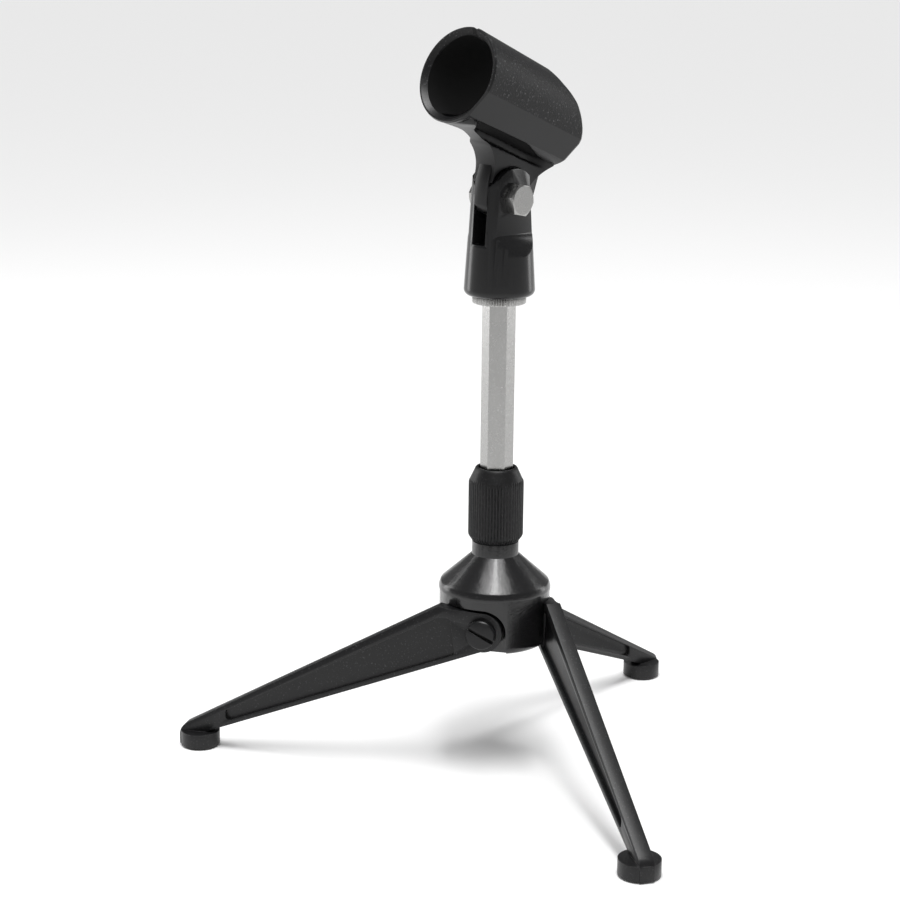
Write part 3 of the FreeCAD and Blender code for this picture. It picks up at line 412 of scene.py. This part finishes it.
def make_materials():
    """Every finish on the stand, by the record's material slots and a few of their own, one of them a darker
    black that paints shade.
    """
    sizes = finish()
    enamel = tuple(sizes.enamel_colour)
    casting = tuple(sizes.casting_colour)
    plastic = tuple(sizes.plastic_colour)
    nickel = tuple(sizes.nickel_colour)
    return {
        "black_enamel": surface("Black enamel", enamel, 0.24, grain=1000.0, grain_height=0.07,
                                waviness=1.2, speck=0.15, coat=0.12),
        "black_casting": surface("Satin casting", casting, 0.38, specular=0.34, grain=1700.0,
                                 grain_height=0.03, waviness=0.8, speck=0.4),
        "black_knurl": surface("Knurled sleeve", casting, 0.42, specular=0.3, grain=2400.0, grain_height=0.04,
                               speck=0.6, wear=0.5, worn=(0.08, 0.08, 0.08)),
        "bright_nickel": surface("Bright nickel", nickel, 0.27, metallic=1.0, grain=2400.0,
                                 grain_height=0.006, worn=(0.6, 0.6, 0.59), wear=0.2, wear_width=0.25,
                                 speck=0.22, spread=0.16, smudge_scale=180.0),
        "plated_steel": surface("Plated steel", nickel, 0.3, metallic=1.0, grain=2400.0,
                                grain_height=0.008, worn=(0.9, 0.9, 0.89), wear=1.0, wear_width=0.3,
                                spread=0.12),
        "black_nylon": surface("Grained plastic", plastic, 0.44, specular=0.26, grain=1500.0,
                               grain_height=0.12, speck=0.9, wear=0.15),
        # Painted shade: a darker, duller black that stands for the shade in the tube's hollows and bore.
        "shade_painted_nylon": surface("Dull plastic with painted shade", (0.0035, 0.0035, 0.0035), 0.75, grain=1500.0,
                              grain_height=0.05, specular=0.15, wear=0.0),
        "smooth_nylon": surface("Smooth plastic", plastic, 0.36, specular=0.3, grain=3000.0,
                                grain_height=0.006, speck=0.02, wear=0.2),
        "gloss_plastic": surface("Gloss plastic", plastic, 0.24, specular=0.3, grain=1200.0,
                                 grain_height=0.004, coat=0.08),
        "black_steel": surface("Black steel", casting, 0.3, metallic=0.4, grain=2600.0,
                               grain_height=0.008, worn=(0.12, 0.12, 0.12)),
        "rubber": surface("Rubber", (0.014, 0.014, 0.014), 0.7, grain=2600.0, grain_height=0.03,
                          speck=0.05, specular=0.3),
        "zinc_steel": surface("Zinc plated steel", (0.62, 0.62, 0.64), 0.32, metallic=1.0, grain=1800.0,
                              grain_height=0.004, worn=(0.62, 0.62, 0.64)),
        "brass": surface("Brass", (0.72, 0.5, 0.2), 0.28, metallic=1.0, grain=1500.0,
                         grain_height=0.004, worn=(0.8, 0.6, 0.3)),
        "fibre": surface("Fibre washer", (0.16, 0.06, 0.03), 0.6, grain=2000.0, grain_height=0.03,
                         speck=0.2),
    }


MATERIALS = {}


def material(name):
    """One of the stand's finishes, made when first asked for."""
    if not MATERIALS:
        MATERIALS.update(make_materials())
    return MATERIALS[name]


# ---------------------------------------------------------------------- shared mesh operations

def new_piece(name, mesh):
    """An object for a mesh, in the scene."""
    piece = bpy.data.objects.new(name, mesh)
    bpy.context.scene.collection.objects.link(piece)
    return piece


def mesh_from(bm, name):
    """A mesh from a bmesh, which is freed."""
    mesh = bpy.data.meshes.new(name)
    bmesh.ops.recalc_face_normals(bm, faces=bm.faces)
    bm.to_mesh(mesh)
    bm.free()
    return mesh


def stand_for(piece, node, finish_name):
    """Let a piece stand for a CAD node, with a finish, and move with the node's body."""
    if finish_name:
        piece.data.materials.clear()
        piece.data.materials.append(material(finish_name))
    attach(piece, BODY_OF[node])
    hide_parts(node)
    return piece


def dress_node(node, finish_name):
    """Give a CAD node whose shape is right its finish."""
    data = frame["nodes"][node].data
    data.materials.clear()
    data.materials.append(material(finish_name))


def apply_modifier(piece, modifier):
    """Bake a modifier into the piece's mesh."""
    depsgraph = bpy.context.evaluated_depsgraph_get()
    baked = bpy.data.meshes.new_from_object(piece.evaluated_get(depsgraph))
    piece.modifiers.remove(modifier)
    piece.data = baked


def round_edges(piece, width, segments=3, angle=32):
    """Round every edge sharper than an angle, and shade the rest smooth."""
    bevel = piece.modifiers.new("rounded edges", "BEVEL")
    bevel.width = width
    bevel.segments = segments
    bevel.limit_method = "ANGLE"
    bevel.angle_limit = math.radians(angle)
    bevel.miter_outer = "MITER_ARC"
    bevel.harden_normals = True
    apply_modifier(piece, bevel)
    for polygon in piece.data.polygons:
        polygon.use_smooth = True
    return piece


def softened(node, width, angle=32):
    """A copy of a CAD node with its sharp edges rounded."""
    mesh = frame["nodes"][node].data.copy()
    bm = bmesh.new()
    bm.from_mesh(mesh)
    bmesh.ops.remove_doubles(bm, verts=bm.verts, dist=1e-6)
    bmesh.ops.dissolve_limit(bm, angle_limit=math.radians(0.3), verts=bm.verts, edges=bm.edges)
    clean = mesh_from(bm, f"{node}_shell")
    bpy.data.meshes.remove(mesh)
    return round_edges(new_piece(f"{node}_shell", clean), width, angle=angle)


def turned(name, rows, steps, ridge):
    """A solid of revolution about Z from a closed outline of (radius, height, ridge share).

    ridge(angle) is how far the surface sinks at an angle, times the share of each row.
    """
    columns = []
    for step in range(steps):
        angle = 2 * math.pi * step / steps
        sunk = ridge(angle)
        columns.append([((radius - sunk * share) * math.cos(angle),
                         (radius - sunk * share) * math.sin(angle), height)
                        for radius, height, share in rows])
    return closed_grid(name, columns)


def closed_grid(name, columns, loop=True):
    """A mesh from columns of points joined side by side; each column closes on itself.

    With loop False the first and last columns are closed by faces of their own.
    """
    bm = bmesh.new()
    grid = [[bm.verts.new(point) for point in column] for column in columns]
    rows = len(columns[0])
    last = len(columns) if loop else len(columns) - 1
    for step in range(last):
        ahead = grid[(step + 1) % len(grid)]
        here = grid[step]
        for row in range(rows):
            above = (row + 1) % rows
            bm.faces.new((here[row], ahead[row], ahead[above], here[above]))
    if not loop:
        bm.faces.new(grid[0])
        bm.faces.new(grid[-1])
    piece = new_piece(name, mesh_from(bm, name))
    for polygon in piece.data.polygons:
        polygon.use_smooth = True
    return piece


def hexagon_reach(across_flats, angle):
    """How far a hexagon reaches from its centre at an angle from one of its flats."""
    sector = math.radians(60)
    return across_flats / 2 / math.cos((angle + sector / 2) % sector - sector / 2)


def hexagon_head(across_flats, flat_share, under, top, slope=30, stations=16):
    """Rows of a hexagon head with its corners turned off, from the outside in to the middle of its top."""
    def row(share):
        def point(angle):
            reach = hexagon_reach(across_flats, angle)
            start = across_flats / 2 * flat_share
            radius = start + (reach - start) * share
            return radius, top - (radius - start) * math.tan(math.radians(slope))
        return point

    def foot(angle):
        return hexagon_reach(across_flats, angle), under

    return [foot] + [row(1 - step / stations) for step in range(stations + 1)]


def spun(name, rows, steps, turn=0.0):
    """A solid about +Z whose rows each give (radius, height), fixed or as a function of the angle."""
    columns = []
    for step in range(steps):
        angle = 2 * math.pi * step / steps
        column = []
        for row in rows:
            radius, height = row(angle) if callable(row) else row
            column.append((radius * math.cos(angle + turn), radius * math.sin(angle + turn), height))
        columns.append(column)
    return closed_grid(name, columns)


def merged(piece, distance=1e-6):
    """Weld the points that lie on one another and drop the faces with no area."""
    bm = bmesh.new()
    bm.from_mesh(piece.data)
    bmesh.ops.remove_doubles(bm, verts=bm.verts, dist=distance)
    bmesh.ops.dissolve_degenerate(bm, edges=bm.edges, dist=distance)
    bmesh.ops.recalc_face_normals(bm, faces=bm.faces)
    bm.to_mesh(piece.data)
    bm.free()
    return piece


def sharpen(piece, angle):
    """Keep edges steeper than an angle crisp."""
    piece.data.set_sharp_from_angle(angle=math.radians(angle))


# ------------------------------------------------------------------------------- the operators

class STAND_OT_hub(bpy.types.Operator):
    """Shape and finish the cast hub."""
    bl_idname = "stand.hub"
    bl_label = "Hub"

    def execute(self, context):
        stand_for(softened("hub", finish().cast_edge * 0.6), "hub", "black_enamel")
        dress_node("clutch_collet", "smooth_nylon")
        return {"FINISHED"}


class STAND_OT_legs(bpy.types.Operator):
    """Shape and finish the three legs, their pads and washers."""
    bl_idname = "stand.legs"
    bl_label = "Legs"

    def execute(self, context):
        for number in LEG_NUMBERS:
            stand_for(softened(f"leg_{number}", finish().cast_edge), f"leg_{number}", "black_casting")
            dress_node(f"foot_pad_{number}", "rubber")
            dress_node(f"friction_washer_{number}", "fibre")
        return {"FINISHED"}


class STAND_OT_pivot_screws(bpy.types.Operator):
    """Shape and finish the slotted screws that the legs turn on."""
    bl_idname = "stand.pivot_screws"
    bl_label = "Pivot screws"

    def execute(self, context):
        for number in LEG_NUMBERS:
            node = f"pivot_screw_{number}"
            stand_for(softened(node, finish().machined_edge), node, "black_steel")
        return {"FINISHED"}


class STAND_OT_clutch(bpy.types.Operator):
    """Shape the knurled clutch sleeve."""
    bl_idname = "stand.clutch"
    bl_label = "Clutch sleeve"

    def execute(self, context):
        sizes = finish()
        low, high, _ = size_of("clutch_sleeve")
        radius = high.x
        foot = low.z
        top = high.z
        bore = radius - SLEEVE_WALL
        depth = sizes.sleeve_rib_depth

        def ridge(angle):
            return depth * (0.5 - 0.5 * math.cos(sizes.sleeve_ribs * angle)) ** 1.5

        rows = [(bore, foot, 0.0)]
        rows += [(radius - inset * MM, foot + up * MM, share) for inset, up, share in SLEEVE_FOOT]
        rows += [(radius - inset * MM, top - down * MM, share) for inset, down, share in SLEEVE_TOP]
        rows.append((bore, top - SLEEVE_BORE_TOP, 0.0))
        sleeve = turned("clutch_sleeve_knurled", rows, sizes.sleeve_ribs * KNURL_STEPS, ridge)
        sharpen(sleeve, KNURL_CRISP)
        stand_for(sleeve, "clutch_sleeve", "black_knurl")
        return {"FINISHED"}


class STAND_OT_rod(bpy.types.Operator):
    """Finish the hexagon rod and what is fixed to it, and shape the knurled lock ring."""
    bl_idname = "stand.rod"
    bl_label = "Rod and lock ring"

    def execute(self, context):
        sizes = finish()
        dress_node("rod", "bright_nickel")
        dress_node("rod_stop_washer", "zinc_steel")
        dress_node("rod_stop_screw", "zinc_steel")
        dress_node("thread_stud", "zinc_steel")
        low, high, _ = size_of("lock_ring")
        radius = high.x
        bore = size_of("thread_stud")[1].x + RING_CLEARANCE
        depth = sizes.ring_tooth_depth

        def ridge(angle):
            return depth * abs(math.sin(sizes.ring_teeth * angle / 2))

        rows = [(bore, low.z, 0.0)]
        rows += [(radius - inset * MM, low.z + off * MM, share) for inset, off, share in RING_END]
        rows += [(radius - inset * MM, high.z - off * MM, share) for inset, off, share in reversed(RING_END)]
        rows.append((bore, high.z, 0.0))
        ring = turned("lock_ring_knurled", rows, sizes.ring_teeth * KNURL_STEPS, ridge)
        sharpen(ring, KNURL_CRISP)
        stand_for(ring, "lock_ring", "plated_steel")
        return {"FINISHED"}


class STAND_OT_clip_base(bpy.types.Operator):
    """Shape and finish the yoke, its insert, bolt and nut."""
    bl_idname = "stand.clip_base"
    bl_label = "Clip base"

    def execute(self, context):
        stand_for(softened("clip_base", finish().moulded_edge), "clip_base", "gloss_plastic")
        dress_node("thread_insert", "brass")
        self.bolt()
        self.nut()
        return {"FINISHED"}

    @staticmethod
    def across(node):
        """The hexagon's size across its flats, from the box of a hexagon turned by BOLT_TURN."""
        low, high, _ = size_of(node)
        reach = max(hexagon_corner(step) for step in range(6))
        return (high.z - low.z) / 2 / reach * math.cos(math.radians(30)) * 2

    def place(self, piece, start, node):
        """Stand a solid made about +Z on the pivot's axis, from a place along X."""
        middle = size_of("pivot_bolt")[2]
        turn = Matrix.Rotation(math.radians(90), 4, "Z") @ Matrix.Rotation(math.radians(90), 4, "X")
        piece.data.transform(Matrix.Translation((start, middle.y, middle.z)) @ turn)
        stand_for(piece, node, "bright_nickel")

    def bolt(self):
        """The bolt: a chamfered hexagon head and a shank with a cut thread at its end."""
        low, high, _ = size_of("pivot_bolt")
        across = self.across("pivot_bolt")
        under = EAR_FACE
        length = under - low.x
        head = high.x - under
        radius = BOLT_RADIUS
        rows = [(0.0, -length), (radius - END_CHAMFER, -length), (radius, -length + END_CHAMFER)]
        for step in range(THREAD_TURNS):
            start = -length + END_CHAMFER + step * THREAD_PITCH
            rows.append((radius, start + THREAD_GROOVE[0]))
            rows.append((radius - THREAD_DEPTH, start + THREAD_PITCH / 2))
            rows.append((radius, start + THREAD_GROOVE[1]))
        rows.append((radius, 0.0))
        rows += hexagon_head(across, HEAD_FLAT_SHARE, 0.0, head)
        rows.append((0.0, head))
        bolt = merged(spun("pivot_bolt_turned", rows, HEAD_STEPS, math.radians(BOLT_TURN)))
        sharpen(bolt, HEAD_CRISP)
        self.place(bolt, under, "pivot_bolt")

    def nut(self):
        """The nut: a hexagon with its outer corners turned off and a countersunk bore."""
        low, high, _ = size_of("pivot_nut")
        across = self.across("pivot_nut")
        thick = high.x - low.x
        bore = BOLT_RADIUS + NUT_CLEARANCE
        rows = [(bore, 0.0)] + hexagon_head(across, HEAD_FLAT_SHARE, 0.0, thick)
        rows += [(bore + END_CHAMFER, thick), (bore, thick - END_CHAMFER)]
        nut = merged(spun("pivot_nut_turned", rows, HEAD_STEPS, -math.radians(BOLT_TURN)))
        nut.data.transform(Matrix.Rotation(math.pi, 4, "Y"))
        sharpen(nut, HEAD_CRISP)
        self.place(nut, high.x, "pivot_nut")


class STAND_OT_mic_holder(bpy.types.Operator):
    """Shape and finish the split tube for the microphone."""
    bl_idname = "stand.mic_holder"
    bl_label = "Mic holder"

    def execute(self, context):
        self.place(self.tube(), None)
        self.place(self.neck(), "smooth_nylon")
        self.place(self.tongue(), "smooth_nylon")
        return {"FINISHED"}

    @staticmethod
    def place(piece, finish_name):
        """Move a solid from the tube's own frame to its place over the pivot."""
        middle = size_of("pivot_bolt")[2]
        tilt = Matrix.Rotation(-HOLDER_TILT, 4, "X")
        piece.data.transform(Matrix.Translation(middle) @ tilt @ Matrix.Translation((0, 0, HOLDER_RISE)))
        stand_for(piece, "mic_holder", finish_name)

    @staticmethod
    def wall(along):
        """The tube's outside radius at a place along it, thick at the mouth and thin at the back."""
        share = (along + TUBE_FRONT) / (TUBE_FRONT + TUBE_BACK)
        return TUBE_MOUTH_RADIUS + (TUBE_BACK_RADIUS - TUBE_MOUTH_RADIUS) * share

    @classmethod
    def outside(cls, angle, along):
        """The outside radius at an angle: a flat band low on each side and a hollow below it."""
        radius = cls.wall(along)
        half = math.radians(BAND_HALF)
        for middle, share in ((BAND_MIDDLE, 1.0), (-180 - BAND_MIDDLE, fade(along, -TUBE_FRONT, -12 * MM))):
            off = math.radians(abs((angle - middle + 180) % 360 - 180))
            if off < half:
                return radius - (radius - radius * math.cos(half) / math.cos(off)) * share
        return radius - (radius - HOLLOW_RADIUS) * cls.hollow(angle, along)

    @staticmethod
    def hollow(angle, along):
        """1 inside the hollow between a side band and the neck, and 0 outside it."""
        down = abs(angle + 90)
        edge = 90 + BAND_MIDDLE - BAND_HALF - HOLLOW_GAP - HOLLOW_NARROWS_BACK * fade(along, *HOLLOW_BACK)
        edge -= HOLLOW_NARROWS_FRONT * fade(along, *HOLLOW_FRONT)
        inside = fade(down, edge, edge - HOLLOW_SIDE) * fade(along, *HOLLOW_START)
        return inside * fade(along, *HOLLOW_END)

    @staticmethod
    def back_end(height):
        """How far back the tube runs at a height from its axis: it is cut away towards the top."""
        return from_table(height, BACK_SLANT)

    def tube(self):
        """The split tube: its wall runs from one side of the slit round to the other."""
        runs = (
            (90, BAND_MIDDLE + BAND_HALF, 40),
            (BAND_MIDDLE + BAND_HALF, BAND_MIDDLE - BAND_HALF, 12),
            (BAND_MIDDLE - BAND_HALF, -180 - BAND_MIDDLE + BAND_HALF, 60),
            (-180 - BAND_MIDDLE + BAND_HALF, -180 - BAND_MIDDLE - BAND_HALF, 12),
            (-180 - BAND_MIDDLE - BAND_HALF, -270, 40),
        )
        angles = [start + (end - start) * step / count for start, end, count in runs for step in range(count)]
        angles.append(-270.0)
        stations = 64
        path = [("out", step / stations) for step in range(stations + 1)]
        path += [("in", 1 - step / stations) for step in range(stations + 1)]
        mouth = BORE_RADIUS + ENTRY_CHAMFER
        columns = []
        for angle in angles:
            column = []
            for side, share in path:
                height = TUBE_MOUTH_RADIUS * math.sin(math.radians(angle))
                length = TUBE_FRONT + self.back_end(height)
                along = -TUBE_FRONT + length * share
                outer = self.outside(angle, along)
                if side == "out":
                    radius = outer
                    end = min(share, 1 - share) * length
                    if end < RIM_ROUND:
                        sunk = 1 - math.sqrt(max(0.0, 1 - (1 - end / RIM_ROUND) ** 2))
                        radius = outer - RIM_ROUND * sunk
                else:
                    lead = max(0.0, ENTRY_CHAMFER - length * share)
                    radius = min(BORE_RADIUS + lead, outer - LEAST_WALL, mouth)
                column.append(self.turned_point(angle, radius, along))
            columns.append(column)
        tube = closed_grid("mic_holder_tube", columns, loop=False)
        sharpen(tube, TUBE_CRISP)
        self.finish_bands_and_painted_shade(tube)
        return tube

    def finish_bands_and_painted_shade(self, tube):
        """Smooth plastic on the bands and the underside; a dull, darker black in the hollows and the bore as
        painted shade.
        """
        tube.data.materials.append(material("black_nylon"))
        tube.data.materials.append(material("smooth_nylon"))
        # The third slot is painted shade: a darker, duller black for the hollows and the bore.
        tube.data.materials.append(material("shade_painted_nylon"))
        for polygon in tube.data.polygons:
            x, along, z = polygon.center
            angle = math.degrees(math.atan2(z, x))
            if angle > 90:
                angle -= 360
            radius = math.hypot(x, z)
            in_bore = radius < BORE_RADIUS + 0.05 * MM
            in_hollow = (self.hollow(angle, along) > 0.2 and along < 12 * MM
                         and radius < self.wall(along) - 0.2 * MM and abs(angle + 90) < 36)
            # Painted shade: the hollows and the bore take the darker black.
            if in_bore or in_hollow:
                polygon.material_index = 2
            elif -180 - BAND_MIDDLE - BAND_HALF < angle < BAND_MIDDLE + BAND_HALF:
                polygon.material_index = 1

    @staticmethod
    def turned_point(angle, radius, along):
        """A point of the wall, with the two ends of the round kept flat beside the slit."""
        share = (90 - angle) / 360
        right = math.degrees(math.acos((SLIT_OFFSET + SLIT_HALF) / radius))
        left = math.degrees(math.acos((SLIT_OFFSET - SLIT_HALF) / radius)) - 360
        flat = fade(share, 0.0, 0.12) * fade(share, 1.0, 0.88)
        ends = right + (left - right) * share
        real = math.radians(ends + (angle - ends) * flat)
        return radius * math.cos(real), along, radius * math.sin(real)

    def neck(self):
        """The neck: from the round recess over the yoke up to the tube, flaring wide at the mouth."""
        across = 44
        up = 26
        bottom = [self.recess_point(step / across) for step in range(across + 1)]
        top = [self.top_point(step / across) for step in range(across + 1)]
        front = [self.front_point(step / up) for step in range(up + 1)]
        back = [self.back_point(step / up) for step in range(up + 1)]
        sheet = []
        for row in range(up + 1):
            v = row / up
            line = []
            for step in range(across + 1):
                u = step / across
                y, z = (
                    (1 - v) * bottom[step][axis] + v * top[step][axis]
                    + (1 - u) * front[row][axis] + u * back[row][axis]
                    - (1 - u) * (1 - v) * bottom[0][axis] - u * (1 - v) * bottom[-1][axis]
                    - (1 - u) * v * top[0][axis] - u * v * top[-1][axis]
                    for axis in (0, 1))
                line.append((y, z))
            sheet.append(line)
        bm = bmesh.new()
        sides = []
        for side in (1, -1):
            grid = []
            for row, line in enumerate(sheet):
                points = []
                for y, z in line:
                    half = self.neck_half(y, z, row / up)
                    if row == up:
                        z = -math.sqrt((BORE_RADIUS + 0.5 * MM) ** 2 - half ** 2)
                    points.append(bm.verts.new((side * half, y, z)))
                grid.append(points)
            sides.append(grid)
        right, left = sides
        for grid in sides:
            for row in range(up):
                for step in range(across):
                    bm.faces.new((grid[row][step], grid[row][step + 1], grid[row + 1][step + 1],
                                  grid[row + 1][step]))
        for row in range(up):
            for step in (0, across):
                bm.faces.new((right[row][step], right[row + 1][step], left[row + 1][step], left[row][step]))
        for row in (0, up):
            for step in range(across):
                bm.faces.new((right[row][step], right[row][step + 1], left[row][step + 1], left[row][step]))
        neck = new_piece("mic_holder_neck", mesh_from(bm, "mic_holder_neck"))
        return round_edges(neck, NECK_EDGE, segments=4, angle=50)

    @staticmethod
    def recess_point(share):
        """A place on the round recess about the pivot, from front to back."""
        angle = math.radians(NECK_FRONT_ANGLE + (NECK_BACK_ANGLE - NECK_FRONT_ANGLE) * share)
        return RECESS_RADIUS * math.cos(angle), -HOLDER_RISE + RECESS_RADIUS * math.sin(angle)

    @staticmethod
    def top_point(share):
        """A place along the line where the neck meets the tube."""
        return NECK_TOP_FRONT + (NECK_TOP_BACK - NECK_TOP_FRONT) * share, -BORE_RADIUS - 0.6 * MM

    def front_point(self, share):
        """A place on the neck's hollow front edge, from the recess up to the mouth."""
        start = self.recess_point(0.0)
        end = self.top_point(0.0)
        bend = (start[0] + 1.0 * MM, end[1] - 0.6 * MM)
        return curve_point(start, bend, end, share)

    def back_point(self, share):
        """A place on the neck's back edge, from the recess up to the tube."""
        start = self.recess_point(1.0)
        end = self.top_point(1.0)
        bend = ((start[0] + end[0]) / 2 - 1.2 * MM, (start[1] + end[1]) / 2 + 0.8 * MM)
        return curve_point(start, bend, end, share)

    @staticmethod
    def neck_half(along, height, rise):
        """Half the neck's width: wide under the mouth, with a groove beside it below the tube."""
        wide = fade(along, NECK_FLARE_START, NECK_TOP_FRONT + 3 * MM) * fade(rise, 0.1, 1.0)
        half = NECK_HALF + (NECK_MOUTH_HALF - NECK_HALF) * wide
        half += NECK_BACK_SWELL * fade(rise, 0.0, 1.0) * fade(along, 0.0, TUBE_BACK)
        inside = fade(along, *GROOVE_FRONT) * fade(along, *GROOVE_BACK)
        groove = fade(height, *GROOVE_RISE)
        return half - (half - GROOVE_HALF) * inside * groove

    def tongue(self):
        """The flat tongue between the yoke's ears."""
        outline = [(y * MM, z * MM - HOLDER_RISE) for y, z in TONGUE_OUTLINE]
        bm = bmesh.new()
        right = [bm.verts.new((TONGUE_HALF, y, z)) for y, z in outline]
        left = [bm.verts.new((-TONGUE_HALF, y, z)) for y, z in outline]
        bm.faces.new(right)
        bm.faces.new(left)
        for step in range(len(outline)):
            ahead = (step + 1) % len(outline)
            bm.faces.new((right[step], right[ahead], left[ahead], left[step]))
        tongue = new_piece("mic_holder_tongue", mesh_from(bm, "mic_holder_tongue"))
        return round_edges(tongue, TONGUE_EDGE)


class STAND_OT_stage(bpy.types.Operator):
    """Set the floor, the soft lights and the camera."""
    bl_idname = "stand.stage"
    bl_label = "Stage"

    def execute(self, context):
        floor_material = bpy.data.materials.new("Pale floor")
        floor_material.use_nodes = True
        shader = floor_material.node_tree.nodes["Principled BSDF"]
        shader.inputs["Base Color"].default_value = (*finish().floor_colour, 1.0)
        shader.inputs["Roughness"].default_value = FLOOR_ROUGHNESS
        bm = bmesh.new()
        corners = [bm.verts.new((x * FLOOR_REACH, y * FLOOR_REACH, FLOOR_HEIGHT))
                   for x, y in ((-1, -1), (1, -1), (1, 1), (-1, 1))]
        bm.faces.new(corners)
        floor = new_piece("floor", mesh_from(bm, "floor"))
        floor.data.materials.append(floor_material)

        bpy.context.scene.view_settings.view_transform = "Standard"
        world = bpy.data.worlds.new("Soft studio")
        bpy.context.scene.world = world
        world.use_nodes = True
        world.node_tree.nodes["Background"].inputs["Color"].default_value = (1.0, 1.0, 1.0, 1.0)
        world.node_tree.nodes["Background"].inputs["Strength"].default_value = WORLD_STRENGTH

        sky = bpy.data.lights.new("overhead", "SUN")
        sky.energy = SUN_POWER
        sky.angle = math.radians(SUN_SPREAD)
        overhead = bpy.data.objects.new("overhead", sky)
        bpy.context.scene.collection.objects.link(overhead)
        overhead.rotation_euler = tuple(math.radians(angle) for angle in SUN_TURN)

        for name, place, aim, size, power in LAMPS:
            lamp = bpy.data.lights.new(name, "AREA")
            lamp.shape = "RECTANGLE"
            lamp.size, lamp.size_y = size
            lamp.energy = power
            holder = bpy.data.objects.new(name, lamp)
            bpy.context.scene.collection.objects.link(holder)
            holder.location = place
            holder.rotation_euler = (Vector(aim) - holder.location).to_track_quat("-Z", "Y").to_euler()

        lens = bpy.data.cameras.new("camera")
        lens.sensor_width = CAMERA_SENSOR
        lens.lens = CAMERA_LENS
        camera = bpy.data.objects.new("camera", lens)
        bpy.context.scene.collection.objects.link(camera)
        turn, nod, roll = (Matrix.Rotation(math.radians(angle), 4, axis)
                           for angle, axis in zip(CAMERA_ANGLES, "ZXZ"))
        camera.matrix_world = Matrix.Translation(CAMERA_PLACE) @ turn @ nod @ roll
        bpy.context.scene.camera = camera
        return {"FINISHED"}


class STAND_PT_panel(bpy.types.Panel):
    """The stand's steps and sizes in the sidebar."""
    bl_idname = "STAND_PT_panel"
    bl_label = "Mic stand"
    bl_space_type = "VIEW_3D"
    bl_region_type = "UI"
    bl_category = "Mic stand"

    def draw(self, context):
        for operator in STEPS:
            self.layout.operator(operator.bl_idname)
        for name in StandFinish.__annotations__:
            self.layout.prop(context.scene.stand_finish, name)


STEPS = (STAND_OT_stage, STAND_OT_hub, STAND_OT_legs, STAND_OT_pivot_screws, STAND_OT_clutch,
         STAND_OT_rod, STAND_OT_clip_base, STAND_OT_mic_holder)
CLASSES = (StandFinish, *STEPS, STAND_PT_panel)


def register():
    """Add the classes and the scene's settings."""
    for item in CLASSES:
        bpy.utils.register_class(item)
    bpy.types.Scene.stand_finish = bpy.props.PointerProperty(type=StandFinish)


def unregister():
    """Take the settings and the classes away again."""
    del bpy.types.Scene.stand_finish
    for item in reversed(CLASSES):
        bpy.utils.unregister_class(item)


def main():
    """Build the stand's looks step by step."""
    register()
    for step in STEPS:
        family, name = step.bl_idname.split(".")
        getattr(getattr(bpy.ops, family), name)()


if __name__ == "__main__":
    main()
